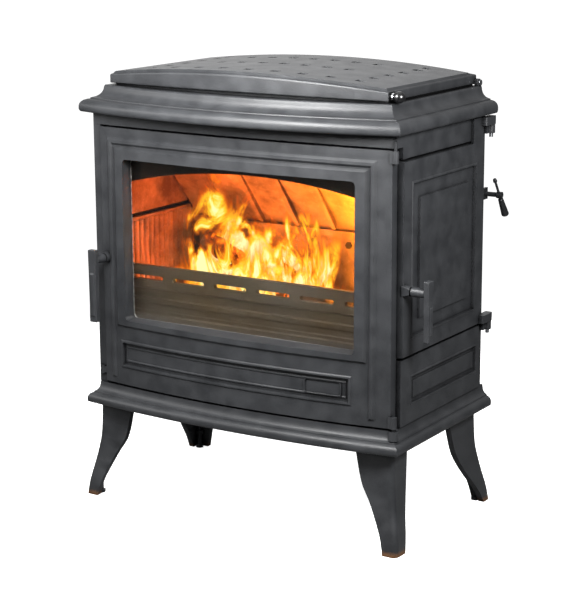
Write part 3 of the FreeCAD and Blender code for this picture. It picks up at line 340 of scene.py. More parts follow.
def gather(name: str, pieces: Sequence[bpy.types.Object]) -> bpy.types.Object:
    """Joins several pieces into one.

    Args:
        name: Name of the result.
        pieces: The pieces.

    Returns:
        The joined piece.
    """
    only(pieces[0])
    for piece in pieces[1:]:
        piece.select_set(True)
    bpy.ops.object.join()
    return settle(bpy.context.object, name)


def twin(piece: bpy.types.Object, name: str, move: Point = (0, 0, 0),
         flip: Point = (1, 1, 1)) -> bpy.types.Object:
    """Copies a piece with a mesh of its own.

    Args:
        piece: The piece to copy.
        name: Name of the copy.
        move: How far the copy moves, in mm.
        flip: Scale about the origin, -1 to mirror.

    Returns:
        The copy.
    """
    made = bpy.data.objects.new(name, piece.data.copy())
    bpy.context.scene.collection.objects.link(made)
    made.location = Vector(move) * MM
    made.scale = flip
    settle(made, name)
    if flip[0] * flip[1] * flip[2] < 0:
        edit(made)
        face_out()
        close()
    return made


def from_frame(node: str, name: str) -> bpy.types.Object:
    """Copies a fixed piece's mesh, merged and cleaned, to be finished.

    Args:
        node: Name of the fixed piece.
        name: Name of the copy.

    Returns:
        The copy.
    """
    made = bpy.data.objects.new(name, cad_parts[node].data.copy())
    made.data.materials.clear()
    bpy.context.scene.collection.objects.link(made)
    edit(made)
    take_all()
    bpy.ops.mesh.remove_doubles(threshold=0.02 * MM)
    bpy.ops.mesh.customdata_custom_splitnormals_clear()
    bpy.ops.mesh.tris_convert_to_quads(face_threshold=math.radians(1),
                                       shape_threshold=math.radians(180))
    face_out()
    close()
    return settle(made, name)


def soften(piece: bpy.types.Object, width: float, angle: float = 28.0, rings: int = 2) -> None:
    """Rounds the sharp edges of a casting and shades it smooth.

    Args:
        piece: The piece.
        width: Width of the rounding, in mm.
        angle: Edges sharper than this many degrees are rounded.
        rings: Facets across the rounding.
    """
    edit(piece)
    take_all()
    bpy.ops.mesh.remove_doubles(threshold=0.01 * MM)
    bpy.ops.mesh.fill_holes(sides=8)
    close()
    if width > 0:
        edge = piece.modifiers.new("round", "BEVEL")
        edge.width, edge.segments, edge.limit_method = width * MM, rings, "ANGLE"
        edge.angle_limit = math.radians(angle)
        edge.use_clamp_overlap = True
        edge.miter_outer = "MITER_ARC"
        harden(piece, "round")
    bpy.ops.object.shade_smooth_by_angle(angle=math.radians(40))
    even = piece.modifiers.new("even", "WEIGHTED_NORMAL")
    even.keep_sharp, even.weight = True, 80
    harden(piece, "even")


def within(centre: Vector, x: Optional[Span] = None, y: Optional[Span] = None,
           z: Optional[Span] = None) -> bool:
    """True if a centre in mm is between the given limits."""
    return all(span is None or span[0] <= value <= span[1] for span, value in zip((x, y, z), centre))


def bulge(place: float, half: float, rise: float) -> float:
    """Height of a shallow arc at a place along its chord."""
    return rise * (1 - (place / half) ** 2)


def bowed_moulding(name: str, half: float, front: float, back: float, bow: float,
                   steps: Sequence[tuple[float, float]], cells: int = 40) -> bpy.types.Object:
    """Builds a plate with a bulging front, a flat back and a moulded edge.

    Args:
        name: Name of the piece.
        half: Half its width at an inset of nothing, in mm.
        front: Front corners, in mm.
        back: Back, in mm.
        bow: How far the front bulges at its middle, in mm.
        steps: Inset and height of each level of the moulding, upwards, in mm.
        cells: Facets along the front.

    Returns:
        The plate.
    """
    first, low = steps[0]
    depth = back - front
    piece = fresh_one(bpy.ops.mesh.primitive_plane_add, size=1,
                      location=(0, (front + back) / 2 * MM, low * MM))
    piece.scale = (2 * half * MM, depth * MM, 1)
    settle(piece, name)
    edit(piece)
    pick(piece, Kind.EDGE, lambda c, w: abs(c.y - front) < 0.1)
    bpy.ops.mesh.subdivide(number_cuts=cells - 1)
    for i in range(1, cells):
        x = half * (2 * i / cells - 1)
        pick(piece, Kind.POINT, lambda c, w: abs(c.x - x) < 0.1 and c.y < front + 1)
        bpy.ops.transform.translate(value=(0, -bulge(x, half, bow) * MM, 0))
    take_all()
    bpy.ops.transform.resize(value=((half - first) / half, 1, 1), center_override=(0, 0, 0))
    pick(piece, Kind.POINT, lambda c, w: c.y < back - 1)
    bpy.ops.transform.translate(value=(0, first * MM, 0))
    inset, height = first, low
    take_all()
    bpy.ops.mesh.select_mode(type="FACE")
    for next_inset, next_height in steps[1:]:
        pick(piece, Kind.FACE, lambda c, w: abs(c.z - height) < 0.05 and abs(w.z) > 0.9)
        bpy.ops.mesh.extrude_region_move(
            TRANSFORM_OT_translate={"value": (0, 0, (next_height - height) * MM)})
        bpy.ops.transform.resize(value=((half - next_inset) / (half - inset), 1, 1),
                                 center_override=(0, 0, 0))
        pick(piece, Kind.POINT, lambda c, w: abs(c.z - next_height) < 0.05 and c.y < back - 1)
        bpy.ops.transform.translate(value=(0, (next_inset - inset) * MM, 0))
        inset, height = next_inset, next_height
    take_all()
    bpy.ops.mesh.remove_doubles(threshold=0.01 * MM)
    bpy.ops.mesh.normals_make_consistent(inside=False)
    close()
    return piece


def quarter(first: tuple[float, float], last: tuple[float, float], hollow: bool,
            cells: int = 6) -> list[tuple[float, float]]:
    """Gives the levels of a quarter-round or a hollow of a moulding.

    Args:
        first: Inset and height where it starts, in mm.
        last: Inset and height where it ends, in mm.
        hollow: True for a hollow, False for a round.
        cells: Facets across it.

    Returns:
        The levels, each an inset and a height.
    """
    levels = []
    for i in range(cells + 1):
        turn = math.pi / 2 * i / cells
        slow, fast = 1 - math.cos(turn), math.sin(turn)
        across, up = (fast, slow) if hollow else (slow, fast)
        levels.append((first[0] + (last[0] - first[0]) * across, first[1] + (last[1] - first[1]) * up))
    return levels


# ---- finishes ----------------------------------------------------------------------------
def shade(hexcode: str) -> tuple[float, float, float, float]:
    """Turns an sRGB hex colour into linear light.

    Args:
        hexcode: The colour, as #rrggbb.

    Returns:
        Red, green, blue and an alpha of one.
    """
    parts = [int(hexcode[i:i + 2], 16) / 255 for i in (1, 3, 5)]
    line = [p / 12.92 if p <= 0.04045 else ((p + 0.055) / 1.055) ** 2.4 for p in parts]
    return (line[0], line[1], line[2], 1.0)


def add(tree: bpy.types.NodeTree, kind: str, settings: Optional[dict] = None,
        links: Optional[dict] = None) -> bpy.types.Node:
    """Adds a shader node with its settings, values and links.

    Args:
        tree: The material's nodes.
        kind: Type of the node.
        settings: Its own properties by name.
        links: For each input, by name or number, a socket to link or a value to set.

    Returns:
        The node.
    """
    made = tree.nodes.new(kind)
    for name, value in (settings or {}).items():
        setattr(made, name, value)
    for name, value in (links or {}).items():
        if isinstance(value, bpy.types.NodeSocket):
            tree.links.new(value, made.inputs[name])
        else:
            made.inputs[name].default_value = value
    return made


def ramp(tree: bpy.types.NodeTree, source: bpy.types.NodeSocket,
         stops: Sequence[tuple[float, object]]) -> bpy.types.NodeSocket:
    """Adds a colour ramp with its stops.

    Args:
        tree: The material's nodes.
        source: What drives it.
        stops: Place and colour of each stop, the colour as a hex code or a grey.

    Returns:
        Its colour.
    """
    made = add(tree, "ShaderNodeValToRGB", links={"Fac": source})
    marks = made.color_ramp.elements
    while len(marks) < len(stops):
        marks.new(0.5)
    for mark, (place, tint) in zip(marks, stops):
        mark.position = place
        mark.color = shade(tint) if isinstance(tint, str) else (tint, tint, tint, 1)
    return made.outputs["Color"]


def noise(tree: bpy.types.NodeTree, place: bpy.types.NodeSocket, size_mm: float, detail: float,
          roughness: float = 0.5, warp: float = 0.0) -> bpy.types.NodeSocket:
    """Adds cloudy noise of a given size and gives its strength."""
    return add(tree, "ShaderNodeTexNoise", links={
        "Vector": place, "Scale": 1000 / size_mm, "Detail": detail, "Roughness": roughness,
        "Distortion": warp}).outputs["Fac"]


def spread(tree: bpy.types.NodeTree, value: bpy.types.NodeSocket, start: float, end: float,
           low: float = 0.0, high: float = 1.0, how: str = "LINEAR") -> bpy.types.NodeSocket:
    """Spreads a value's range from start to end over low to high."""
    return add(tree, "ShaderNodeMapRange", {"interpolation_type": how}, {
        "Value": value, "From Min": start, "From Max": end, "To Min": low, "To Max": high,
    }).outputs["Result"]


def mix(tree: bpy.types.NodeTree, share: object, first: object, second: object) -> bpy.types.NodeSocket:
    """Mixes two colours, the second by its share."""
    return add(tree, "ShaderNodeMix", {"data_type": "RGBA"}, {
        "Factor": share, 6: first, 7: second}).outputs[2]


def reckon(tree: bpy.types.NodeTree, how: str, *values: object) -> bpy.types.NodeSocket:
    """Does one sum with the given values."""
    return add(tree, "ShaderNodeMath", {"operation": how}, dict(enumerate(values))).outputs[0]


def skin_of(tree: bpy.types.NodeTree) -> bpy.types.Node:
    """Finds a material's surface node."""
    return next(node for node in tree.nodes if node.type == "BSDF_PRINCIPLED")


def fresh(name: str) -> tuple[bpy.types.Material, Optional[bpy.types.NodeTree]]:
    """Finds a material, or starts one with no nodes.

    Args:
        name: Name of the material.

    Returns:
        The material, and its nodes if they are still to be made.
    """
    if name in bpy.data.materials:
        return bpy.data.materials[name], None
    made = bpy.data.materials.new(name)
    made.use_nodes = True
    made.node_tree.nodes.clear()
    return made, made.node_tree


# Worn toes: brown iron, a ragged edge and the height below which no paint is left, in metres.
WORN_BROWN, WORN_RAGGED, WORN_THROUGH = "#6b4a2e", -0.012, -0.004
# Painted shade in creases, from ambient occlusion: its colour, how far it reaches in mm and the share of
# open sky at which it starts and ends.
CREASE_SHADE_COLOUR, CREASE_SHADE_REACH, CREASE_SHADE_SKY = "#070707", 14, (0.35, 0.95)
SMOOTH = "SMOOTHSTEP"


@dataclass(frozen=True)
class Finish:
    """A surface: what it is made of, how it was made and what that gives the eye."""
    name: str
    colour: str = "#3a3b3d"
    fleck: str = "#46474a"
    metallic: float = 0.0
    roughness: float = 0.5
    uneven: float = 0.06
    grain_mm: float = 3.0
    depth_mm: float = 0.12
    swell_mm: float = 40.0
    coat: float = 0.0
    specular: float = 0.5
    stain: Optional[str] = None
    stain_mm: float = 60.0
    streak: Point = (1.0, 1.0, 1.0)
    bare_below_mm: float = 0.0
    # Strength of the painted shade in creases.
    crease_shade: float = 0.0

    def make(self) -> bpy.types.Material:
        """Builds the material, once.

        Returns:
            The material.
        """
        made, tree = fresh(self.name)
        if tree is None:
            return made
        place = add(tree, "ShaderNodeTexCoord").outputs["Object"]
        run = add(tree, "ShaderNodeMapping", links={"Vector": place, "Scale": self.streak}).outputs["Vector"]
        grain = noise(tree, run, self.grain_mm, 3.0, 0.6)
        blend = reckon(tree, "MULTIPLY_ADD", grain, 0.5, noise(tree, run, self.swell_mm, 2.0))
        colour = mix(tree, ramp(tree, blend, ((0.55, 0.0), (0.95, 1.0))), shade(self.colour),
                     shade(self.fleck))
        if self.stain:
            patch = noise(tree, run, self.stain_mm, 5.0, 0.65)
            colour = mix(tree, ramp(tree, patch, ((0.42, 0.0), (0.66, 1.0))), colour, shade(self.stain))
        if self.bare_below_mm:
            height = add(tree, "ShaderNodeSeparateXYZ", links={"Vector": place}).outputs["Z"]
            ragged = reckon(tree, "MULTIPLY_ADD", grain, WORN_RAGGED, height)
            worn = spread(tree, ragged, self.bare_below_mm * MM, WORN_THROUGH)
            colour = mix(tree, worn, colour, shade(WORN_BROWN))
        shine = self.specular
        # Painted shade: ambient occlusion darkens the colour and the shine in creases, grooves and gaps.
        if self.crease_shade:
            sky = add(tree, "ShaderNodeAmbientOcclusion", {"samples": 6}, {"Distance": CREASE_SHADE_REACH * MM})
            lit = spread(tree, sky.outputs["AO"], *CREASE_SHADE_SKY, 1.0 - self.crease_shade)
            colour = mix(tree, lit, shade(CREASE_SHADE_COLOUR), colour)
            shine = reckon(tree, "MULTIPLY", lit, self.specular)
        rough = spread(tree, blend, 0.4, 1.1, self.roughness - self.uneven, self.roughness + self.uneven)
        relief = add(tree, "ShaderNodeBump", links={
            "Height": grain, "Strength": 1.0, "Distance": self.depth_mm * MM})
        skin = add(tree, "ShaderNodeBsdfPrincipled", links={
            "Base Color": colour, "Roughness": rough, "Metallic": self.metallic,
            "Normal": relief.outputs["Normal"], "Coat Weight": self.coat, "Coat Roughness": 0.12,
            "Specular IOR Level": shine})
        add(tree, "ShaderNodeOutputMaterial", links={"Surface": skin.outputs["BSDF"]})
        return made


@dataclass(frozen=True)
class Glow(Finish):
    """A burning surface: dark crust with hot cracks."""
    hot: str = "#ff7a1e"
    hottest: str = "#ffd76a"
    light: float = 6.0
    crack_mm: float = 14.0
    cover: float = 0.5

    def make(self) -> bpy.types.Material:
        """Builds the crust and adds light in its cracks.

        Returns:
            The material.
        """
        known = self.name in bpy.data.materials
        made = super().make()
        if known:
            return made
        tree = made.node_tree
        skin = skin_of(tree)
        place = add(tree, "ShaderNodeTexCoord").outputs["Object"]
        heat = noise(tree, place, self.crack_mm, 4.0, 0.7)
        edge = ramp(tree, heat, ((self.cover, "#000000"), (self.cover + 0.09, self.hot),
                                 (self.cover + 0.2, self.hottest)))
        tree.links.new(edge, skin.inputs["Emission Color"])
        skin.inputs["Emission Strength"].default_value = self.light
        return made


@dataclass(frozen=True)
class Flame:
    """Burning gas: light that fades towards the tip and the edges of each tongue."""
    name: str = "Burning wood gas"
    core: str = "#fff6b0"
    bright: str = "#ffcf30"
    body: str = "#ff7e0c"
    rim: str = "#c43c02"
    light: float = 1.5

    def make(self) -> bpy.types.Material:
        """Builds the material, once.

        Returns:
            The material.
        """
        made, tree = fresh(self.name)
        if tree is None:
            return made
        spot = add(tree, "ShaderNodeTexCoord")
        along = add(tree, "ShaderNodeSeparateXYZ", links={"Vector": spot.outputs["UV"]}).outputs
        side = reckon(tree, "ABSOLUTE", reckon(tree, "SUBTRACT", along["X"], 0.5))
        inner = spread(tree, side, 0.5, 0.12, how=SMOOTH)
        low = spread(tree, along["Y"], 1.0, 0.45, how=SMOOTH)
        flow = add(tree, "ShaderNodeMapping", links={"Vector": spot.outputs["Object"],
                                                     "Scale": (1.0, 1.0, 0.5)}).outputs["Vector"]
        torn = spread(tree, noise(tree, flow, 60, 5.0, 0.6, 0.9), 0.40, 0.60)
        gas = reckon(tree, "MULTIPLY", reckon(tree, "MULTIPLY", inner, low), torn)
        cover = spread(tree, gas, 0.03, 0.62, how=SMOOTH)
        tint = ramp(tree, gas, ((0.04, self.rim), (0.26, self.body), (0.5, self.bright), (0.74, self.core)))
        glow = add(tree, "ShaderNodeEmission", links={"Color": tint, "Strength": self.light})
        clear = add(tree, "ShaderNodeBsdfTransparent")
        both = add(tree, "ShaderNodeMixShader", links={0: cover, 1: clear.outputs[0],
                                                       2: glow.outputs[0]})
        add(tree, "ShaderNodeOutputMaterial", links={"Surface": both.outputs[0]})
        return made


@dataclass(frozen=True)
class Pane:
    """Ceramic glass: rolled flat, clear with a faint warm cast, so it mirrors the room."""
    name: str = "Ceramic glass"
    tint: str = "#f3e6d2"

    def make(self) -> bpy.types.Material:
        """Builds the material, once.

        Returns:
            The material.
        """
        made, tree = fresh(self.name)
        if tree is None:
            return made
        place = add(tree, "ShaderNodeTexCoord").outputs["Object"]
        tint = ramp(tree, noise(tree, place, 150, 2.0), ((0.3, self.tint), (0.8, "#ffffff")))
        skin = add(tree, "ShaderNodeBsdfPrincipled", links={
            "Base Color": tint, "Roughness": 0.02, "IOR": 1.5, "Transmission Weight": 1.0})
        add(tree, "ShaderNodeOutputMaterial", links={"Surface": skin.outputs["BSDF"]})
        return made


@dataclass(frozen=True)
class Rope:
    """Glass fibre rope: twisted yarn, pressed flat, soft and dull."""
    name: str = "Glass fibre rope"
    light: str = "#6b6862"
    dark: str = "#3c3a37"
    strand_mm: float = 6.0

    def make(self) -> bpy.types.Material:
        """Builds the material, once.

        Returns:
            The material.
        """
        made, tree = fresh(self.name)
        if tree is None:
            return made
        place = add(tree, "ShaderNodeTexCoord").outputs["Object"]
        turned = add(tree, "ShaderNodeMapping", links={"Vector": place, "Rotation": (0.6, 0.6, 0.6)})
        yarn = add(tree, "ShaderNodeTexWave", {"wave_type": "BANDS"}, {
            "Vector": turned.outputs["Vector"], "Scale": 1000 / self.strand_mm / 6.283, "Distortion": 1.0,
            "Detail": 2.0}).outputs["Fac"]
        tint = ramp(tree, yarn, ((0.2, self.dark), (0.9, self.light)))
        relief = add(tree, "ShaderNodeBump", links={"Height": yarn, "Distance": 0.8 * MM, "Strength": 1.0})
        skin = add(tree, "ShaderNodeBsdfPrincipled", links={
            "Base Color": tint, "Roughness": 0.95, "Normal": relief.outputs["Normal"],
            "Sheen Weight": 0.3})
        add(tree, "ShaderNodeOutputMaterial", links={"Surface": skin.outputs["BSDF"]})
        return made


# Grey iron cast in sand, sprayed with matt heat-proof paint: an even charcoal grey with a fine
# pebbled skin. The sand grain is drawn 3 mm across, coarser than the real 0.5 mm, so that it shows.
# Its creases are darkened with painted shade.
CAST_PAINT = Finish("Heat proof paint on grey cast iron", "#1c1d1f", "#27282a", 0.0, 0.46, 0.07, 3.0, 0.18,
                    specular=0.34, crease_shade=0.9)
# The same paint on the legs, rubbed through to brown iron where the toes slide on the floor.
# Its creases are darkened with painted shade too.
LEG_PAINT = Finish("Heat proof paint, rubbed at the toes", "#1c1d1f", "#27282a", 0.0, 0.42, 0.07, 3.0, 0.18,
                   specular=0.36, bare_below_mm=5.0, crease_shade=0.9)
# Guard behind the glass: bare iron with a film of pale ash, dry and olive grey.
GUARD_IRON = Finish("Bare cast iron filmed with ash", "#4d483f", "#5e584d", 0.1, 0.6, 0.08, 4.0, 0.2, 50.0,
                    stain="#453f36", stain_mm=120.0, specular=0.35, streak=(0.25, 1.0, 1.0))
# The same iron left bare and fired many times: brown-grey, dry, with rust blooms.
FIRED_IRON = Finish("Fired bare cast iron", "#2f2820", "#3d342a", 0.2, 0.7, 0.08, 4.0, 0.25, 50.0,
                    stain="#221a14", stain_mm=70.0, specular=0.3)
# Ribbed lining, pale from ash and heat, and lightened to a warm tone as painted firelight.
ASHY_FIRELIT_IRON = Finish("Ash bleached cast iron lining with painted firelight", "#7d6048", "#94755a", 0.1, 0.8, 0.06, 4.0, 0.25, 60.0,
                   stain="#4b3626", stain_mm=90.0, specular=0.25)
# The sheet behind the top of the glass: the same steel under a film of soot, painted almost black as painted
# shade for that dark spot under the door's top.
SOOTY_SHADED_SHEET = Finish("Sooty steel sheet with painted shade", "#1f1c19", "#292521", 0.3, 0.7, 0.08, 2.0, 0.03, 60.0,
                     stain="#161412", stain_mm=80.0, specular=0.3)
# Rolled steel sheet, dull from the fire.
HOT_SHEET = Finish("Heat tinted steel sheet", "#3a3530", "#4a433b", 0.6, 0.55, 0.08, 2.0, 0.03, 60.0,
                   stain="#33302d", stain_mm=80.0)
# Bar and rod blackened in oil: smooth, satin.
BLACK_STEEL = Finish("Oil blackened steel", "#202123", "#28292b", 0.55, 0.42, 0.05, 1.5, 0.03)
# Screws and pins with a bright zinc coat.
ZINC = Finish("Zinc plated steel", "#8f9194", "#a5a7a9", 1.0, 0.34, 0.06, 1.2, 0.03)
# Turned and polished steel ring and stem.
BRIGHT = Finish("Polished turned steel", "#d3d4d6", "#dedfe0", 1.0, 0.14, 0.03, 0.8, 0.01)
# Pressed phenolic knob: glossy black with a hard clear skin.
BLACK_KNOB = Finish("Pressed black phenolic", "#060607", "#0a0a0b", 0.0, 0.3, 0.03, 6.0, 0.01,
                    coat=0.15, specular=0.4)
# Bark of the logs that are not alight yet, charred black in patches.
BARK = Finish("Charred birch bark", "#4a3526", "#7a5d42", 0.0, 0.9, 0.05, 5.0, 0.9, 25.0,
              stain="#17110d", stain_mm=35.0)
# Burning logs and their bed: black char split by glowing cracks.
CHAR = Glow("Charred log with glowing cracks", "#1a1310", "#33251c", 0.0, 0.92, 0.04, 6.0, 1.2, 22.0,
            light=2.2, crack_mm=16.0, cover=0.53)
EMBER = Glow("Glowing embers", "#241510", "#4a2c1c", 0.0, 0.95, 0.04, 6.0, 1.0, 18.0,
             light=2.6, crack_mm=13.0, cover=0.45)
ROPE = Rope()
PANE = Pane()
FLAME = Flame()


# ---- base for the groups of pieces -------------------------------------------------------
class Group:
    """A group of pieces that are built and dressed together."""

    def fit(self, piece: bpy.types.Object, body: str, slot: str, finish: object,
            *stands_for: str) -> bpy.types.Object:
        """Hands a finished piece to the frame.

        Args:
            piece: The piece.
            body: The body that it moves with.
            slot: The record's material slot, not used.
            finish: Its finish.
            stands_for: The fixed pieces that it takes the place of.

        Returns:
            The same piece.
        """
        piece.data.materials.clear()
        piece.data.materials.append(finish.make())
        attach(piece, body)
        if stands_for:
            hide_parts(*stands_for)
        log.info("%s: %d faces, on %s", piece.name, len(piece.data.polygons), body)
        return piece

    def rework(self, node: str, name: str, body: str, slot: str, finish: object,
               width: float = 1.2) -> bpy.types.Object:
        """Finishes a cleaned copy of a fixed piece with rounded edges.

        Args:
            node: The fixed piece.
            name: Name of the copy.
            body: The body that it moves with.
            slot: The record's material slot.
            finish: Its finish.
            width: Width of the rounding, in mm.

        Returns:
            The finished copy.
        """
        piece = from_frame(node, name)
        soften(piece, width)
        return self.fit(piece, body, slot, finish, node)


@dataclass
class TopMoulding(Group):
    """The moulded top of the casing, with its hollow, nose and upper hollow."""
    half: float = 370.0
    front: float = -205.6
    back: float = 205.6
    bow: float = 50.0
    low: float = 809.6
    top: float = 863.3

    def build(self) -> None:
        """Makes the moulding with its opening for the hotplate."""
        steps = [(7.0, self.low), (3.0, self.low + 1.0), (1.0, self.low + 3.2), (0.0, self.low + 6.5),
                 (0.0, 822.0), (0.9, 826.5), (3.4, 830.6), (7.4, 833.8), (12.6, 835.6), (17.0, 836.2),
                 (17.6, 838.4)]
        steps += quarter((18.0, 839.0), (37.0, 859.5), True, 8)[1:]
        steps += [(37.6, 860.6), (38.2, 862.4), (39.3, self.top)]
        piece = bowed_moulding("top_casting", self.half, self.front, self.back, self.bow, steps)
        unite(piece, block("well", (-296, 296), (-124, 170), (851.3, 880)), Join.CUT)
        unite(piece, block("throat", (-282, 282), (-110, 156), (800, 860)), Join.CUT)
        unite(piece, block("under", (-333, 316), (-137, 173), (800, 843)), Join.CUT)
        for side in (-1, 1):
            x = sorted((side * 322.5, side * 331.0))
            ear = block("ear", (x[0], x[1]), (191.5, 205.0), (858, 878))
            round_edges(ear, lambda c, w: c.z > 877 and abs(w.x) > 0.9, 6.5, 5)
            unite(piece, ear, Join.WELD)
        soften(piece, 0.9, 34)
        self.fit(piece, "casing", "cast_iron_paint", CAST_PAINT, "top_moulding")


@dataclass
class BasePlate(Group):
    """The moulded plate that the walls stand on."""
    half: float = 369.5
    front: float = -206.5
    back: float = 202.6
    bow: float = 27.0

    def build(self) -> None:
        """Makes the plate and the round boss under the front door's hinge."""
        steps = [(4.0, 199.4), (1.4, 200.6), (0.3, 203.0), (0.0, 206.0), (0.2, 210.5), (1.6, 214.8),
                 (4.4, 218.2), (8.2, 220.4), (10.2, 221.0), (10.8, 223.4)]
        steps += quarter((11.0, 224.0), (20.5, 243.5), True, 6)[1:]
        piece = bowed_moulding("base_casting", self.half, self.front, self.back, self.bow, steps)
        boss = bar("boss", (PIN_X, PIN_Y, 226.0), Way.Z, 11.0, 17.5, 28, 9.0)
        unite(piece, boss, Join.WELD)
        soften(piece, 0.8, 34)
        self.fit(piece, "casing", "cast_iron_paint", CAST_PAINT, "base_plate")


@dataclass
class Lid(Group):
    """The arched lid with its raised and pierced field, and its knob."""
    half: float = 321.0
    front: float = -162.4
    back: float = 203.0
    bow: float = 33.0
    low: float = 863.7
    end: float = 885.2
    rise: float = 19.5
    hole: float = 18.0
    knob_y: float = -148.0
    knob_z: float = 875.0

    def holes(self) -> list[tuple[float, float]]:
        """Places of the square holes.

        Returns:
            Their centres, in mm.
        """
        places = [(60.0 * i, -124.4 - 16 * (1 - (i / 4) ** 2)) for i in range(-4, 5)]
        places += [(50.0 * i, y) for y in (-12.0, 103.0) for i in range(-3, 4)]
        places += [(x, y) for x in (-240.0, 240.0) for y in (-70.0, -12.0, 46.0, 103.0, 145.0)]
        return places

    def build(self) -> None:
        """Makes the lid, then its knob."""
        steps = [(8.0, self.low), (8.0, self.low + 3.4), (0.8, self.low + 3.6), (0.0, self.low + 4.6),
                 (0.0, self.end - 3.2)]
        steps += quarter((0.0, self.end - 3.0), (3.0, self.end), False, 4)[1:]
        lid = bowed_moulding("lid_casting", self.half, self.front, self.back, self.bow, steps)
        raise_faces(lid, lambda c, w: w.z < -0.9 and c.z < self.low + 1, -12.5, 8.0)
        raise_faces(lid, lambda c, w: w.z > 0.9 and c.z > self.end - 1, -1.2, 16.0)
        raise_faces(lid, lambda c, w: w.z > 0.9 and self.end - 2 < c.z < self.end - 1, 5.6, 5.0)
        slice_at(lid, Way.X, [x * 20.0 for x in range(-15, 16)])
        edge = self.end - self.low
        cage(lid, (-self.half, -200, self.low), (self.half, 203, self.end + 10), (33, 2, 8),
             lambda p: (0, 0, bulge(p[0], self.half, self.rise) * min(1.0, (p[2] - self.low) / edge)))
        punches = []
        for x, y in self.holes():
            side = self.hole / 2
            punches.append(block("punch", (x - side, x + side), (y - side, y + side), (866.5, 930)))
        punch = gather("punch", punches)
        round_edges(punch, lambda c, w: abs(w.z) > 0.9, 2.4, 2)
        unite(lid, punch, Join.CUT)
        unite(lid, block("notch", (306, 330), (-159, -137), (866.0, 884.0)), Join.CUT)
        unite(lid, block("boss", (299, 317), (-157, -139), (863.7, 884)), Join.WELD)
        for side in (-1, 1):
            x = sorted((side * 299.0, side * 317.0))
            unite(lid, block("eye", (x[0], x[1]), (191, 202.5), (865.7, 877.7)), Join.WELD)
        soften(lid, 1.0, 34)
        self.fit(lid, "lid", "cast_iron_paint", CAST_PAINT, "top_lid")
        self.knob()

    def knob(self) -> None:
        """Makes the ball knob, its bright collar and its stem."""
        y, z = self.knob_y, self.knob_z
        ball = bar("lid_ball_knob", (326.2, y, z), Way.X, 7.0, 22.0, 32)
        slice_at(ball, Way.X, [329, 333, 337, 341, 345])
        edit(ball)
        for x, radius in ((326.2, 6.4), (329, 9.2), (333, 11.0), (337, 11.6), (341, 10.8), (345, 8.2),
                          (348.2, 3.6)):
            pick(ball, Kind.POINT, lambda c, w: abs(c.x - x) < 0.3)
            bpy.ops.transform.resize(value=(1, radius / 7, radius / 7),
                                     center_override=(x * MM, y * MM, z * MM))
        close()
        rounder = ball.modifiers.new("round", "SUBSURF")
        rounder.levels = rounder.render_levels = 2
        harden(ball, "round")
        soften(ball, 0)
        self.fit(ball, "lid", "bakelite", BLACK_KNOB, "lid_knob")
        rod = gather("lid_knob_collar", [
            bar(name, (x, y, z), Way.X, radius, length) for name, x, radius, length in (
                ("stem", 306, 3.4, 24.0), ("collar", 322.4, 7.6, 4.4), ("washer", 317.2, 6.2, 2.2))])
        soften(rod, 0.7)
        self.fit(rod, "lid", "bright_steel", BRIGHT, "lid_knob_stem")


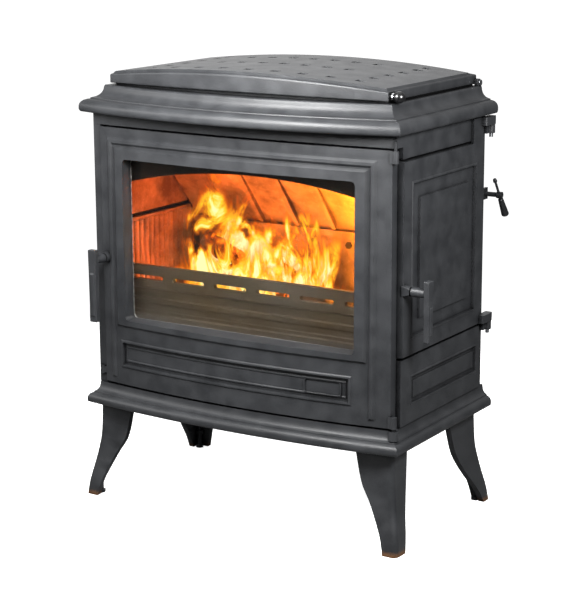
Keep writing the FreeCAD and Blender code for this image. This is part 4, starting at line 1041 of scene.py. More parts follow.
@dataclass
class GlassDoor(Group):
    """The bowed front door: moulded frame, band round the glass, lower panel and hinge eyes."""
    left: float = -331.0
    right: float = 345.0
    low: float = 248.0
    top: float = 781.0
    face: float = -187.5
    back: float = -168.0

    def bow(self, at: Point) -> Point:
        """How far the face stands forward at a point of the door.

        Args:
            at: The point, in mm.

        Returns:
            The shift, in mm.
        """
        middle, half = (self.left + self.right) / 2, (self.right - self.left) / 2
        rise = 27.0 - 11.0 * (at[2] - self.low) / (self.top - self.low)
        share = min(1.0, max(0.0, (self.back - at[1]) / 10.0))
        return (0.0, -bulge(at[0] - middle, half, rise) * share, 0.0)

    def build(self) -> None:
        """Makes the casting, its blank plate and the glass."""
        door = block("glass_door_casting", (self.left, self.right), (self.face, self.back),
                     (self.low, self.top))
        slice_at(door, Way.X, [-322, -314, -299, -287, 265, 299, 314, 330])
        slice_at(door, Way.Z, [260, 284, 343, 367, 746, 761, 770])
        raise_fields(door, Way.Y, -1, (((-322, 330), (260, 770), -0.7, 3.0),))
        slice_at(door, Way.X, [-314, -299, 299, 314])
        slice_at(door, Way.Z, [746, 761])
        raise_faces(door, lambda c, w: (w.y < -0.9 and within(c, (-314, 314), None, (260, 761))
                                        and not within(c, (-299, 299), None, (250, 746))), 3.6, 4.6)
        # The lower panel from its rim inwards, then the band round the glass.
        raise_fields(door, Way.Y, -1, (
            ((-287, 265), (284, 343), 2.4, 2.4), ((-286, 264), (286, 341), 0.0, 3.0),
            ((-283, 261), (290, 338), -6.4, 2.2), ((-278, 256), (293, 335), 0.0, 4.0),
            ((-277, 255), (296, 332), 1.8, 2.0), ((-276, 254), (298, 330), 0.0, 2.0),
            ((-274, 252), (300, 328), -1.6, 1.6),
            ((-299, 299), (367, 746), 0.0, 3.0), ((-296, 296), (370, 743), 4.2, 5.2)))
        slice_at(door, Way.X, [x * 24.0 for x in range(-13, 15)])
        cage(door, (self.left - 1, self.face - 4, self.low), (self.right + 1, self.back, self.top),
             (41, 8, 2), self.bow)
        unite(door, self.window((-271, 271), (386, 719), 9.0, -260, -150), Join.CUT)
        for z in ((248, 272), (757, 781)):
            eye = bar("eye", (PIN_X, PIN_Y, z[0] + 0.4), Way.Z, 6.0, z[1] - z[0] - 0.8)
            arm = block("arm", (340, PIN_X), (-190, -181), (z[0] + 0.4, z[1] - 0.4))
            unite(door, eye, Join.WELD)
            unite(door, arm, Join.WELD)
        unite(door, bar("boss", (-320, -201.5, SPINDLE_Z), Way.Y, 9.6, 20, 32, 12.4), Join.WELD)
        soften(door, 1.5, 24, 3)
        self.fit(door, "front_door", "cast_iron_paint", CAST_PAINT, "front_door_frame")
        plate = self.window((163, 243), (299.5, 327.0), 4.0, -187.2, -176.0)
        plate.name = "blank_plate"
        raise_faces(plate, lambda c, w: w.y < -0.9, 0.0, 2.0)
        raise_faces(plate, lambda c, w: w.y < -0.9 and abs(c.x - 203) < 5, -2.2, 0.6)
        cage(plate, (162, -188, 297), (244, -175, 328), (5, 2, 2), self.bow)
        soften(plate, 0.5)
        self.fit(plate, "front_door", "cast_iron_paint", CAST_PAINT, "door_plate")
        glass = self.window((-284, 284), (373, 732), 6.0, -166.5, -162.5)
        glass.name = "door_pane"
        self.fit(glass, "front_door", "ceramic_glass", PANE, "door_glass")

    def window(self, x: Span, z: Span, corner: float, front: float, back: float) -> bpy.types.Object:
        """Makes an upright slab with rounded corners.

        Args:
            x: Left and right, in mm.
            z: Bottom and top, in mm.
            corner: Radius of its corners, in mm.
            front: Front face, in mm.
            back: Back face, in mm.

        Returns:
            The slab.
        """
        slab = block("window", x, (front, back), z)
        round_edges(slab, lambda c, w: abs(w.y) > 0.9, corner, 6)
        return slab


@dataclass
class LoadingDoor(Group):
    """The side door with its raised field, and the fixed panel below it."""
    inner: float = 340.3
    face: float = 357.0

    def build(self) -> None:
        """Makes the door, its hinge eyes and the lower panel."""
        door = block("loading_door_casting", (self.inner, self.face), (-165, 170), (381, 759))
        edit(door)
        pick(door, Kind.FACE, lambda c, w: w.x > 0.9)
        bpy.ops.transform.resize(value=(1, (335 - 4) / 335, (378 - 4) / 378),
                                 center_override=(self.face * MM, 2.5 * MM, 570 * MM))
        close()
        slice_at(door, Way.Y, [-132, 140])
        slice_at(door, Way.Z, [414, 718])
        raise_fields(door, Way.X, 1, (
            ((-132, 140), (414, 718), 1.4, 2.0), ((-131, 139), (415, 717), 0.0, 2.6),
            ((-128, 136), (419, 713), -6.4, 1.2), ((-124, 132), (423, 709), 0.0, 28.0),
            ((-101, 109), (446, 686), 4.6, 1.2)))
        for z in ((383.3, 400.0), (789.3, 806.0)):
            unite(door, self.eye(z), Join.WELD)
        unite(door, block("arm", (350, 357), (125, 168), (747, 806)), Join.WELD)
        unite(door, bar("boss", (353.0, -157, SPINDLE_Z), Way.X, 12.6, 17, 32, 9.4), Join.WELD)
        unite(door, block("trim", (330, 380), (-180, -165.0), (480, 540)), Join.CUT)
        soften(door, 0.9, 24)
        self.fit(door, "side_door", "cast_iron_paint", CAST_PAINT, "side_door_panel")
        panel = block("lower_side_casting", (334, 354), (-165, 171), (245.5, 377))
        slice_at(panel, Way.Y, [-126, 159])
        slice_at(panel, Way.Z, [280, 341])
        raise_fields(panel, Way.X, 1, (
            ((-126, 159), (280, 341), 1.2, 2.0), ((-125, 158), (281, 340), 0.0, 2.0),
            ((-122, 155), (284, 337), -6.0, 1.2), ((-118, 151), (288, 333), 0.0, 7.0),
            ((-114, 147), (292, 329), 3.4, 1.2)))
        soften(panel, 0.9, 24)
        self.fit(panel, "casing", "cast_iron_paint", CAST_PAINT, "right_lower_panel")

    def eye(self, z: Span) -> bpy.types.Object:
        """Makes one squared hinge eye with its arm.

        Args:
            z: Its bottom and top, in mm.

        Returns:
            The eye.
        """
        eye = block("eye", (352, 368), (160, 204), z)
        round_edges(eye, lambda c, w: abs(w.z) > 0.9 and c.x > 360, 4.5, 4)
        return eye


@dataclass
class Casing(Group):
    """The fixed walls round the fire."""

    def build(self) -> None:
        """Finishes the walls, the back and the hotplate."""
        for node, name in (("front_frame", "front_wall"), ("left_side_panel", "left_wall"),
                           ("right_side_frame", "right_wall"), ("back_panel", "back_wall")):
            self.rework(node, name, "casing", "cast_iron_paint", CAST_PAINT, 1.4)
        lug = bar("corner_lug", (-342, -184, 262), Way.Z, 5.6, 17.0, 32)
        unite(lug, block("lug_arm", (-341, -330), (-187, -176), (264, 277)), Join.WELD)
        soften(lug, 1.2, 30)
        self.fit(lug, "casing", "cast_iron_paint", CAST_PAINT)
        self.rework("hotplate", "hot_plate", "casing", "bare_cast_iron", CAST_PAINT, 1.0)


@dataclass
class Legs(Group):
    """Four curved legs, hollow behind, each with a bolting flange."""
    wall: float = 12.5
    top: float = 199.4
    levels: int = 16
    flare: tuple[float, float] = (25.0, 27.0)
    # Height, share of the flare, wide arm and narrow arm, from the toe up.
    front_steps: tuple = ((0.0, 1.0, 31.0, 38.0), (30.0, 0.84, 34.0, 42.0), (60.0, 0.58, 41.0, 45.0),
                          (95.0, 0.3, 52.0, 50.0), (130.0, 0.1, 68.0, 55.0), (199.4, 0.0, 82.0, 60.0))
    rear_steps: tuple = ((0.0, 1.0, 31.0, 38.0), (30.0, 0.84, 44.0, 42.0), (60.0, 0.58, 62.0, 45.0),
                         (95.0, 0.3, 82.0, 50.0), (130.0, 0.1, 98.0, 55.0), (199.4, 0.0, 120.0, 60.0))

    def at(self, steps: tuple, height: float) -> tuple[float, float, float]:
        """Reads a leg's table at a height, along a smooth curve.

        Args:
            steps: The table.
            height: Height over the floor, in mm.

        Returns:
            Share of the flare, wide arm and narrow arm.
        """
        i = max(k for k in range(len(steps) - 1) if steps[k][0] <= height)
        ends = [steps[min(max(k, 0), len(steps) - 1)] for k in (i - 1, i, i + 1, i + 2)]
        span = ends[2][0] - ends[1][0]
        t = (height - ends[1][0]) / span
        found = []
        for column in (1, 2, 3):
            a, b, c, d = (row[column] for row in ends)
            before = (c - a) / max(1.0, ends[2][0] - ends[0][0]) * span
            after = (d - b) / max(1.0, ends[3][0] - ends[1][0]) * span
            found.append((2 * t ** 3 - 3 * t ** 2 + 1) * b + (t ** 3 - 2 * t ** 2 + t) * before
                         + (3 * t ** 2 - 2 * t ** 3) * c + (t ** 3 - t ** 2) * after)
        return found[0], found[1], found[2]

    def leg(self, name: str, corner: tuple[float, float], out: float, wide_x: bool,
            steps: tuple) -> bpy.types.Object:
        """Makes a right-hand leg.

        Args:
            name: Name of the leg.
            corner: Its outer corner at the top, in mm.
            out: -1 if it flares to the front, 1 to the back.
            wide_x: True if its wide arm runs along the front.
            steps: Its table.

        Returns:
            The leg.
        """
        def marks(height: float) -> tuple[list[float], list[float]]:
            """Gives the three x and three y places of the outline at a height."""
            share, wide, narrow = self.at(steps, height)
            arm_x, arm_y = (wide, narrow) if wide_x else (narrow, wide)
            cx, cy = corner[0] + self.flare[0] * share, corner[1] + out * self.flare[1] * share
            return ([cx, cx - self.wall, cx - arm_x], [cy, cy - out * self.wall, cy - out * arm_y])

        xs, ys = marks(0.0)
        leg = fresh_one(bpy.ops.mesh.primitive_plane_add, size=1,
                        location=((xs[0] + xs[2]) / 2 * MM, (ys[0] + ys[2]) / 2 * MM, 0))
        leg.scale = (abs(xs[0] - xs[2]) * MM, abs(ys[0] - ys[2]) * MM, 1)
        settle(leg, name)
        slice_at(leg, Way.X, [xs[1]])
        slice_at(leg, Way.Y, [ys[1]])
        edit(leg)
        pick(leg, Kind.FACE, lambda c, w: c.x < xs[1] and (c.y - ys[1]) * out < 0)
        bpy.ops.mesh.delete(type="FACE")
        old = 0.0
        for i in range(1, self.levels + 1):
            height = self.top * i / self.levels
            pick(leg, Kind.FACE, lambda c, w: abs(c.z - old) < 0.05 and abs(w.z) > 0.9)
            bpy.ops.mesh.extrude_region_move(TRANSFORM_OT_translate={"value": (0, 0, (height - old) * MM)})
            for axis, marked, wanted in zip((0, 1), (xs, ys), marks(height)):
                for k, place in enumerate(wanted):
                    pick(leg, Kind.POINT,
                         lambda c, w: abs(c.z - height) < 0.05 and abs(c[axis] - marked[k]) < 0.05)
                    move = [0.0, 0.0, 0.0]
                    move[axis] = (place - marked[k]) * MM
                    bpy.ops.transform.translate(value=move)
                    marked[k] = place
            old = height
        face_out()

        def corner_edge(c: Vector, w: Vector) -> bool:
            """True on the outer upright edge."""
            rows_x, rows_y = marks(min(self.top, max(0.0, c.z)))
            return abs(w.z) > 0.5 and abs(c.x - rows_x[0]) < 2.0 and abs(c.y - rows_y[0]) < 2.0

        round_edges(leg, corner_edge, 11.8, 6)
        arm_x, arm_y = (82, 60) if wide_x else (60, 120)
        y = sorted((corner[1] - out * 2, corner[1] - out * arm_y))
        flange = block("flange", (corner[0] - arm_x, corner[0] - 2), (y[0], y[1]), (191.4, 199.3))
        unite(leg, flange, Join.WELD)
        soften(leg, 1.6, 30, 2)
        return leg

    def build(self) -> None:
        """Makes a front and a rear leg, and mirrors them to the left."""
        for place, corner, out, wide_x, steps in (
                ("front", (350.0, -188.0), -1, True, self.front_steps),
                ("rear", (350.0, 170.0), 1, False, self.rear_steps)):
            right = self.leg(f"cast_leg_{place}_right", corner, out, wide_x, steps)
            left = twin(right, f"cast_leg_{place}_left", flip=(-1, 1, 1))
            for leg, hand in ((right, "right"), (left, "left")):
                self.fit(leg, "casing", "cast_iron_paint", LEG_PAINT, f"leg_{place}_{hand}")


@dataclass
class Handles(Group):
    """The two flat handles on their round spindles."""

    def grip(self, name: str, up: float, down: float) -> bpy.types.Object:
        """Makes a flat tapered grip, hanging from the origin, its face to the front.

        Args:
            name: Name of the piece.
            up: Height above the spindle, in mm.
            down: Length below it, in mm.

        Returns:
            The grip.
        """
        grip = block(name, (-9.5, 9.5), (-12, 0), (-down, up))
        slice_at(grip, Way.Z, [-down + 8, -down + 34, -22, 0, up - 8])
        raise_faces(grip, lambda c, w: w.y < -0.9 and within(c, None, None, (-down + 8, -22)), 0.0, 3.2)
        raise_faces(grip, lambda c, w: w.y < -0.9 and abs(c.x) < 6 and -down + 10 < c.z < -24, 2.2, 2.6)
        cage(grip, (-10, -15, -down), (10, 0.1, up), (2, 2, 9),
             lambda p: (-p[0] * 0.16 * (1 - min(1.0, abs(p[2] + down * 0.55) / (down * 0.6))), 0, 0))
        soften(grip, 2.4, 24, 4)
        return grip

    def build(self) -> None:
        """Makes both handles."""
        front = self.grip("front_grip", 22, 128)
        self.shift(front, (-320, -229.5, SPINDLE_Z))
        self.fit(front, "front_handle", "black_steel", CAST_PAINT, "front_handle_grip")
        side = self.grip("side_grip", 24, 94)
        only(side)
        side.rotation_euler = (0, 0, math.pi / 2)
        settle(side, "side_grip")
        self.shift(side, (401, -157, SPINDLE_Z))
        self.fit(side, "side_handle", "black_steel", CAST_PAINT, "side_handle_grip")
        for hand in ("front", "side"):
            self.rework(f"{hand}_handle_spindle", f"{hand}_spindle", f"{hand}_handle", "black_steel",
                        BLACK_STEEL, 0.6)
        for name, body, start, way, length, near, far in (
                ("front_handle_neck", "front_handle", (-320, -231.0, SPINDLE_Z), Way.Y, 27.0, 8.2, 9.4),
                ("side_handle_neck", "side_handle", (373.0, -157, SPINDLE_Z), Way.X, 29.5, 9.8, 8.4)):
            neck = bar(name, start, way, near, length, 40, far)
            slice_at(neck, way, [start[way.value] + length * f for f in (0.12, 0.88)])
            raise_faces(neck, lambda c, w: abs(w[way.value]) > 0.9, -0.6, 2.0)
            soften(neck, 1.0, 30)
            self.fit(neck, body, "black_steel", CAST_PAINT)

    def shift(self, piece: bpy.types.Object, place: Point) -> None:
        """Moves a piece to its place, into its mesh."""
        piece.location = Vector(place) * MM
        settle(piece, piece.name)


@dataclass
class Firebox(Group):
    """Guard, linings and baffle."""
    front: float = -140.0
    floor: float = 316.0
    left: float = -317.0
    right: float = 316.0

    def build(self) -> None:
        """Makes the log guard and finishes the linings."""
        guard = block("slotted_guard", (self.left, self.right), (self.front + 1, self.front + 12),
                      (self.floor, 493))
        steps = ((318, 340, 4.0), (344, 366, 1.5), (372, 392, 4.0), (398, 414, -1.5), (424, 446, -4.5))
        slice_at(guard, Way.Z, sorted({z for low, high, _ in steps for z in (low, high)} | {453, 482}))
        for low, high, rise in steps:
            raise_faces(guard, lambda c, w: w.y < -0.9 and low < c.z < high, rise, 2.4)
        slot = gather("slot", [block("slot", (x - 38.5, x + 38.5), (-160, -110), (463, 472))
                               for x in ((i - 2.5) * 102.0 for i in range(6))])
        round_edges(slot, lambda c, w: abs(w.y) > 0.9, 3.6, 4)
        unite(guard, slot, Join.CUT)
        soften(guard, 1.6, 20, 3)
        self.fit(guard, "casing", "bare_cast_iron", GUARD_IRON, "log_guard")
        # Lining on the upper left wall, pale from ash and from painted firelight.
        upper = block("upper_side_lining", (-337, -332.5), (-132, 118), (584, 738))
        raise_faces(upper, lambda c, w: w.x > 0.9, -1.5, 6.0)
        soften(upper, 1.2, 24)
        self.fit(upper, "casing", "bare_cast_iron", ASHY_FIRELIT_IRON)
        pillar = block("lining_pillar", (-331, -309), (119, 129), (318, 640))
        slice_at(pillar, Way.Z, [360, 600])
        raise_faces(pillar, lambda c, w: w.y < -0.9, 2.0, 4.0)
        soften(pillar, 1.4, 24)
        self.fit(pillar, "casing", "bare_cast_iron", FIRED_IRON)
        # The ribbed linings and baffle are pale partly from ash, partly as painted firelight.
        for node, name, finish in (("left_side_liner", "ribbed_lining", ASHY_FIRELIT_IRON),
                                   ("rear_liner", "rear_lining", ASHY_FIRELIT_IRON),
                                   ("baffle_plate", "ribbed_baffle", ASHY_FIRELIT_IRON),
                                   ("hearth_plate", "hearth_casting", FIRED_IRON),
                                   # The deflector's sheet is almost black: soot and painted shade.
                                   ("air_deflector", "arched_deflector", SOOTY_SHADED_SHEET)):
            slot_name = "steel_sheet" if node == "air_deflector" else "bare_cast_iron"
            self.rework(node, name, "casing", slot_name, finish, 1.0)


@dataclass
class Fire(Group):
    """Logs, embers and flames on the hearth."""
    floor: float = 318.0
    shift: float = -95.0
    broader: float = 1.4
    taller: float = 1.14

    def log(self, name: str, start: Point, end: Point, radius: float, seed: int,
            finish: object) -> bpy.types.Object:
        """Makes one log, knobbly and slightly bent, lying between two points.

        Args:
            name: Name of the log.
            start: Centre of one end, in mm.
            end: Centre of the other end, in mm.
            radius: Radius, in mm.
            seed: Which bumps it has.
            finish: Its finish.

        Returns:
            The log.
        """
        run = Vector(end) - Vector(start)
        log_piece = bar(name, (0, 0, 0), Way.Z, radius, run.length, 20, radius * 0.88)
        slice_at(log_piece, Way.Z, [run.length * i / 14 for i in range(1, 14)])
        edit(log_piece)
        pick(log_piece, Kind.FACE, lambda c, w: abs(w.z) > 0.9)
        bpy.ops.mesh.inset(thickness=radius * 0.3 * MM, depth=0)
        bpy.ops.mesh.inset(thickness=radius * 0.3 * MM, depth=-1.0 * MM)
        close()
        smooth = log_piece.modifiers.new("smooth", "SUBSURF")
        smooth.levels = smooth.render_levels = 2
        bumps = bpy.data.textures.new(f"{name}_bumps", "CLOUDS")
        bumps.noise_scale = 0.03 + 0.004 * seed
        knobs = log_piece.modifiers.new("knobs", "DISPLACE")
        knobs.texture, knobs.strength, knobs.mid_level = bumps, 0.016, 0.5
        harden(log_piece, "smooth", "knobs")
        turn = Vector((0, 0, 1)).rotation_difference(run.normalized())
        log_piece.rotation_mode = "QUATERNION"
        log_piece.rotation_quaternion = turn
        log_piece.location = Vector(start) * MM
        settle(log_piece, name)
        only(log_piece)
        bpy.ops.object.shade_smooth()
        return self.fit(log_piece, "casing", "bare_cast_iron", finish)

    def bed(self) -> None:
        """Makes the heap of embers."""
        heap = fresh_one(bpy.ops.mesh.primitive_grid_add, x_subdivisions=70, y_subdivisions=34, size=1,
                         location=(0, -5 * MM, self.floor * MM))
        heap.scale = (560 * MM, 226 * MM, 1)
        settle(heap, "ember_bed")
        edit(heap)
        take_all()
        bpy.ops.mesh.extrude_region_move(TRANSFORM_OT_translate={"value": (0, 0, 60 * MM)})
        face_out()
        close()
        cage(heap, (-280, -118, self.floor), (280, 108, self.floor + 60), (15, 7, 2),
             lambda p: (0, 0, 0 if p[2] < self.floor + 30 else
                        58 * math.exp(-((p[0] + 60) / 190) ** 2) - 30 * (abs(p[0]) / 280) ** 2))
        lumps = bpy.data.textures.new("ember_lumps", "CLOUDS")
        lumps.noise_scale = 0.022
        rough = heap.modifiers.new("lumps", "DISPLACE")
        rough.texture, rough.strength, rough.mid_level, rough.direction = lumps, 0.03, 0.5, "Z"
        group = heap.vertex_groups.new(name="top")
        group.add([v.index for v in heap.data.vertices if v.co.z > (self.floor + 12) * MM], 1.0, "REPLACE")
        rough.vertex_group = "top"
        harden(heap, "lumps")
        bpy.ops.object.shade_smooth()
        self.fit(heap, "casing", "bare_cast_iron", EMBER)

    def tongue(self, name: str, lean: float, curl: float, phase: float) -> bpy.types.Object:
        """Makes one flame tongue, a unit high, as a thin wavy leaf.

        Args:
            name: Name of the tongue.
            lean: How far its tip leans, as a share of its height.
            curl: How strongly it waves.
            phase: Where the wave starts.

        Returns:
            The tongue.
        """
        leaf = settle(fresh_one(bpy.ops.mesh.primitive_grid_add, x_subdivisions=8, y_subdivisions=22, size=1,
                                rotation=(math.pi / 2, 0, 0), location=(0, 0, 0.5)), name)
        edit(leaf)
        for i in range(23):
            z = i / 22
            pick(leaf, Kind.POINT, lambda c, w: abs(c.z * MM - z) < 0.01)
            width = (0.62 + 0.55 * math.sin(math.pi * min(1.0, z * 1.5) ** 0.8)) * (1 - z ** 2.2) + 0.03
            bpy.ops.transform.resize(value=(width, 1, 1), center_override=(0, 0, z))
            sway = lean * z ** 1.4 + curl * math.sin(phase + z * 6.5) * z
            depth = 0.5 * curl * math.cos(phase + z * 5.0) * z
            bpy.ops.transform.translate(value=(sway, depth, 0))
        close()
        return leaf

    def flames(self) -> None:
        """Makes the fire from copies of five tongues."""
        # Lean, curl and phase of each.
        bends = ((0.15, 0.10, 0.0), (-0.25, 0.12, 1.7), (0.45, 0.10, 3.1), (-0.05, 0.14, 4.4),
                 (0.75, 0.08, 5.2))
        kinds = [self.tongue(f"tongue_{i}", *bend) for i, bend in enumerate(bends)]
        # Place on the hearth, depth, height, width, turn in degrees and which tongue.
        spots = [(-60, -20, 350, 235, 105, 10, 0), (-20, -40, 350, 250, 120, -12, 1),
                 (25, -10, 345, 260, 120, 20, 0), (70, -35, 350, 230, 110, -18, 2),
                 (110, 0, 345, 240, 110, 8, 4), (-100, 10, 350, 190, 90, 25, 3),
                 (150, -30, 350, 190, 90, -10, 2), (0, 30, 350, 300, 130, 0, 1),
                 (45, 35, 350, 310, 120, 30, 3), (90, 40, 345, 290, 120, -25, 4),
                 (-45, 45, 350, 270, 120, 15, 1), (190, 5, 345, 140, 80, 12, 0),
                 (-140, -10, 345, 120, 70, -20, 3), (235, -20, 345, 100, 70, 5, 2),
                 (10, -60, 345, 170, 100, 5, 3), (60, -70, 345, 150, 90, -8, 0),
                 (-35, -70, 345, 140, 90, 12, 2), (130, -65, 340, 120, 90, 0, 1),
                 (30, 0, 350, 190, 170, 40, 0), (75, 10, 350, 200, 150, -45, 3),
                 (-15, 0, 350, 200, 150, 60, 4), (120, 20, 350, 210, 130, 50, 2),
                 (20, -80, 380, 270, 190, 0, 1), (70, -90, 375, 220, 170, 12, 3),
                 (-45, -85, 375, 190, 160, -10, 0), (140, -85, 370, 150, 150, 5, 4),
                 (45, -60, 390, 160, 260, 0, 3), (-90, -60, 380, 110, 170, 10, 1),
                 (200, -70, 365, 100, 130, -6, 0), (90, -50, 400, 250, 150, -15, 4),
                 (15, -95, 400, 130, 230, 0, 2), (50, -98, 395, 150, 200, 8, 0),
                 (-10, -92, 400, 170, 150, -8, 4), (125, -96, 390, 120, 170, 4, 1),
                 (15, -97, 420, 290, 170, 6, 1), (-60, -96, 395, 100, 150, -4, 2)]
        made = []
        for i, (x, y, z, high, wide, turn, kind) in enumerate(spots):
            leaf = twin(kinds[kind], f"leaf_{i}",
                        flip=(wide * self.broader * MM, wide * MM, high * self.taller * MM))
            leaf.rotation_euler = (0, 0, math.radians(turn))
            leaf.location = Vector((x + self.shift, y, z)) * MM
            made.append(settle(leaf, f"leaf_{i}"))
        fire = gather("flames", made)
        only(fire)
        bpy.ops.object.shade_smooth()
        self.fit(fire, "casing", "bare_cast_iron", FLAME)
        for kind in kinds:
            bpy.data.objects.remove(kind)

    def build(self) -> None:
        """Makes the bed, the logs and the flames."""
        self.bed()
        for name, start, end, radius, seed, finish in (
                ("charred_log_back", (-250, 60, 410), (150, 70, 400), 36, 1, CHAR),
                ("charred_log_front", (-230, -60, 405), (0, -35, 415), 30, 2, CHAR),
                ("charred_log_cross", (-160, 20, 480), (60, -70, 440), 26, 3, CHAR),
                ("charred_log_upright", (-225, 40, 520), (-90, -10, 480), 22, 4, BARK),
                ("split_log_right", (60, -60, 432), (285, -75, 452), 30, 5, BARK)):
            self.log(name, start, end, radius, seed, finish)
        self.flames()


# Every other fixed piece keeps its shape and only gets its finish.
PLAIN_PIECES: dict[str, Finish] = {
    "door_glass": PANE, "glass_gasket": ROPE, "front_door_rope": ROPE, "side_door_rope": ROPE,
    "flue_gasket": ROPE, "glass_clips": BLACK_STEEL, "glass_clip_screws": ZINC,
    "front_door_pins": BLACK_STEEL, "side_door_pins": ZINC, "lid_hinge_pins": ZINC, "leg_bolts": ZINC,
    "levelling_bolts": BLACK_STEEL, "levelling_nuts": BLACK_STEEL, "flue_bolts": ZINC,
    "latch_keepers": BLACK_STEEL,
    "rear_liner_bolts": FIRED_IRON, "fire_grate": FIRED_IRON, "baffle_bar": HOT_SHEET,
    "ash_box": HOT_SHEET, "ash_pan": HOT_SHEET, "side_door_liner": HOT_SHEET,
    "air_shutter": BLACK_STEEL, "air_shutter_knob": BLACK_KNOB, "shutter_rails": BLACK_STEEL,
    "damper_bracket": BLACK_STEEL, "damper_plate": HOT_SHEET, "damper_shaft": BLACK_STEEL,
    "damper_lever": BLACK_STEEL, "flue_collar": CAST_PAINT,
}


@dataclass
class DamperLever(Group):
    """The thick end of the damper's lever and the ball on its rod."""
    tilt: float = 34.0
    pivot: Point = (366.0, 228.0, 640.0)

    def build(self) -> None:
        """Makes the tapered grip and the ball end."""
        grip = bar("damper_lever_grip", (0, 0, -54.0), Way.Z, 8.0, 44.0, 32, 5.4)
        slice_at(grip, Way.Z, [-50.0, -16.0])
        raise_faces(grip, lambda c, w: w.z < -0.9, 0.8, 2.4)
        soften(grip, 1.8, 30, 3)
        ball = bar("damper_rod_end", (0, 0, 36.0), Way.Z, 4.6, 8.0, 24, 3.6)
        soften(ball, 1.6, 30, 3)
        for piece, stands in ((grip, ("damper_grip",)), (ball, ())):
            piece.rotation_euler = (math.radians(self.tilt), 0, 0)
            piece.location = Vector(self.pivot) * MM
            settle(piece, piece.name)
            self.fit(piece, "damper", "black_steel", BLACK_STEEL, *stands)


@dataclass
class Fittings(Group):
    """The fixed pieces whose shape is already right."""

    def build(self) -> None:
        """Gives each of them its finish."""
        for node, finish in PLAIN_PIECES.items():
            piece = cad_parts[node]
            if piece.hide_render:
                continue
            while len(piece.material_slots) < 1:
                piece.data.materials.append(None)
            for holder in piece.material_slots:
                holder.link = "OBJECT"
                holder.material = finish.make()
            log.info("%s: finished as %s", node, finish.name)


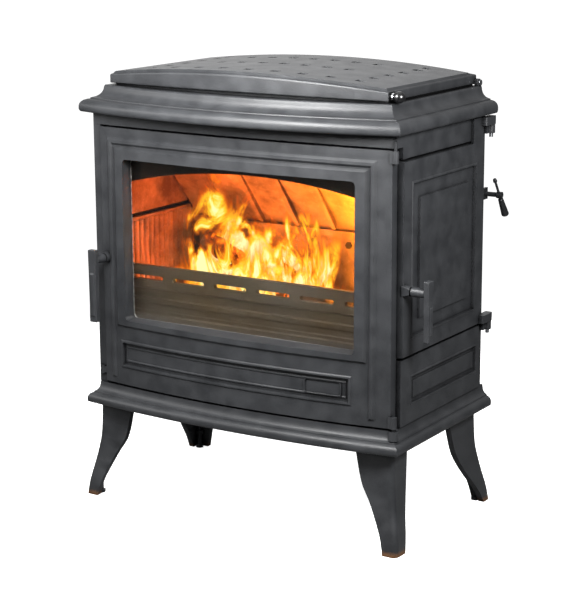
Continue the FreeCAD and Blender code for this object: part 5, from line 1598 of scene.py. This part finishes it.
@dataclass
class Studio:
    """Floor, light and camera."""
    turn: float = 30.885
    tilt: float = 12.925
    reach: float = 3.848
    aim: Point = (0.0, 0.1533, 0.4)
    lens_mm: float = 108.0
    sensor_mm: float = 36.0
    slide: tuple[float, float] = (-0.0553, -0.0066)
    room_low: float = 0.07
    room_high: float = 0.55
    room_seen: float = 1.1
    paper_lift: float = 0.9
    paper_grey: str = "#6a6a6a"

    def light(self, name: str, place: Point, aim: Point, size: float, power: float,
              colour: str = "#ffffff", seen: bool = True) -> None:
        """Sets up one soft box.

        Args:
            name: Name of the light.
            place: Where it stands, in metres.
            aim: The point that it faces, in metres.
            size: Width, in metres.
            power: Power, in watts.
            colour: Its colour.
            seen: False hides the lamp itself, behind the glass.
        """
        lamp = fresh_one(bpy.ops.object.light_add, type="AREA", location=place)
        lamp.name = name
        lamp.data.shape, lamp.data.size, lamp.data.energy = "DISK", size, power
        lamp.data.color = shade(colour)[:3]
        lamp.visible_camera = False
        lamp.visible_transmission = lamp.visible_glossy = seen
        lamp.rotation_euler = (Vector(aim) - Vector(place)).to_track_quat("-Z", "Y").to_euler()

    def room(self) -> None:
        """Sets up a white room that is dimmer towards its floor as the castings see it."""
        world = bpy.context.scene.world or bpy.data.worlds.new("Studio")
        bpy.context.scene.world = world
        world.use_nodes = True
        tree = world.node_tree
        tree.nodes.clear()
        place = add(tree, "ShaderNodeTexCoord").outputs["Generated"]
        up = add(tree, "ShaderNodeSeparateXYZ", links={"Vector": place}).outputs["Z"]
        dim = spread(tree, up, -0.35, 0.9, self.room_low, self.room_high, SMOOTH)
        seen = add(tree, "ShaderNodeLightPath").outputs["Is Camera Ray"]
        level = add(tree, "ShaderNodeMix", {"data_type": "FLOAT"}, {
            "Factor": seen, 2: dim, 3: self.room_seen})
        sky = add(tree, "ShaderNodeBackground", links={"Color": (1, 1, 1, 1), "Strength": level.outputs[0]})
        add(tree, "ShaderNodeOutputWorld", links={"Surface": sky.outputs[0]})

    def paper(self) -> bpy.types.Material:
        """Makes the floor's white paper, which throws little light back up at the castings.

        Returns:
            The material.
        """
        made = Finish("White studio paper", "#f4f4f4", "#f7f7f7", 0.0, 0.9, 0.02, 20.0, 0.01).make()
        tree = made.node_tree
        skin = skin_of(tree)
        seen = add(tree, "ShaderNodeLightPath").outputs["Is Camera Ray"]
        white = skin.inputs["Base Color"].links[0].from_socket
        tree.links.new(mix(tree, seen, shade(self.paper_grey), white), skin.inputs["Base Color"])
        skin.inputs["Emission Color"].default_value = shade("#ffffff")
        lift = reckon(tree, "MULTIPLY", seen, self.paper_lift)
        tree.links.new(lift, skin.inputs["Emission Strength"])
        return made

    def build(self) -> None:
        """Sets up the floor, the lights and the camera."""
        floor = fresh_one(bpy.ops.mesh.primitive_circle_add, vertices=96, radius=1.7, fill_type="NGON",
                          location=(0, 0, 0))
        floor.name = "studio_floor"
        floor.data.materials.append(self.paper())
        self.room()
        self.light("soft_box_over", (0.0, 0.3, 3.2), (0, 0.1, 0.5), 2.4, 16)
        self.light("soft_box_key", (0.0, -0.78, 1.16), (0.05, -0.2, 0.86), 0.45, 31)
        self.light("soft_box_left", (-2.2, -1.8, 1.5), (-0.2, -0.1, 0.8), 1.2, 40)
        self.light("soft_box_back", (-1.9, 3.0, 1.9), (0, 0, 0.9), 2.2, 16)
        self.light("soft_box_right", (1.15, -0.55, 1.15), (0.35, 0, 0.80), 0.4, 36)
        fire = (-0.06, -0.01, 0.52)
        self.light("fire_up", fire, (0.02, 0.12, 0.72), 0.20, 3.0, "#ff9440", False)
        self.light("fire_left", (-0.10, -0.02, 0.50), (-0.4, 0.02, 0.50), 0.12, 4.6, "#ff7a30", False)
        self.light("fire_right", (0.10, -0.06, 0.52), (0.35, 0.10, 0.60), 0.12, 11.0, "#ffae30", False)
        self.light("fire_front", (-0.03, 0.02, 0.45), (-0.03, -0.2, 0.38), 0.16, 0.8, "#ff9a48", False)
        a, e = math.radians(self.turn), math.radians(self.tilt)
        away = Vector((math.sin(a) * math.cos(e), -math.cos(a) * math.cos(e), math.sin(e)))
        place = Vector(self.aim) + away * self.reach
        bpy.ops.object.camera_add(location=place, rotation=(-away).to_track_quat("-Z", "Y").to_euler())
        eye = bpy.context.object
        eye.data.lens, eye.data.sensor_width = self.lens_mm, self.sensor_mm
        eye.data.shift_x, eye.data.shift_y = self.slide
        eye.data.clip_start = 0.05
        bpy.context.scene.camera = eye
        bpy.context.scene.view_settings.view_transform = "Standard"


def main() -> None:
    """Builds every group of the stove in turn, then the studio."""
    logging.basicConfig(level=logging.INFO, format="%(message)s")
    for group in (Studio(), BasePlate(), Legs(), Casing(), TopMoulding(), Lid(), GlassDoor(), LoadingDoor(),
                  Handles(), Firebox(), Fire(), DamperLever(), Fittings()):
        group.build()
        log.info("built %s", type(group).__name__)


if __name__ == "__main__":
    main()
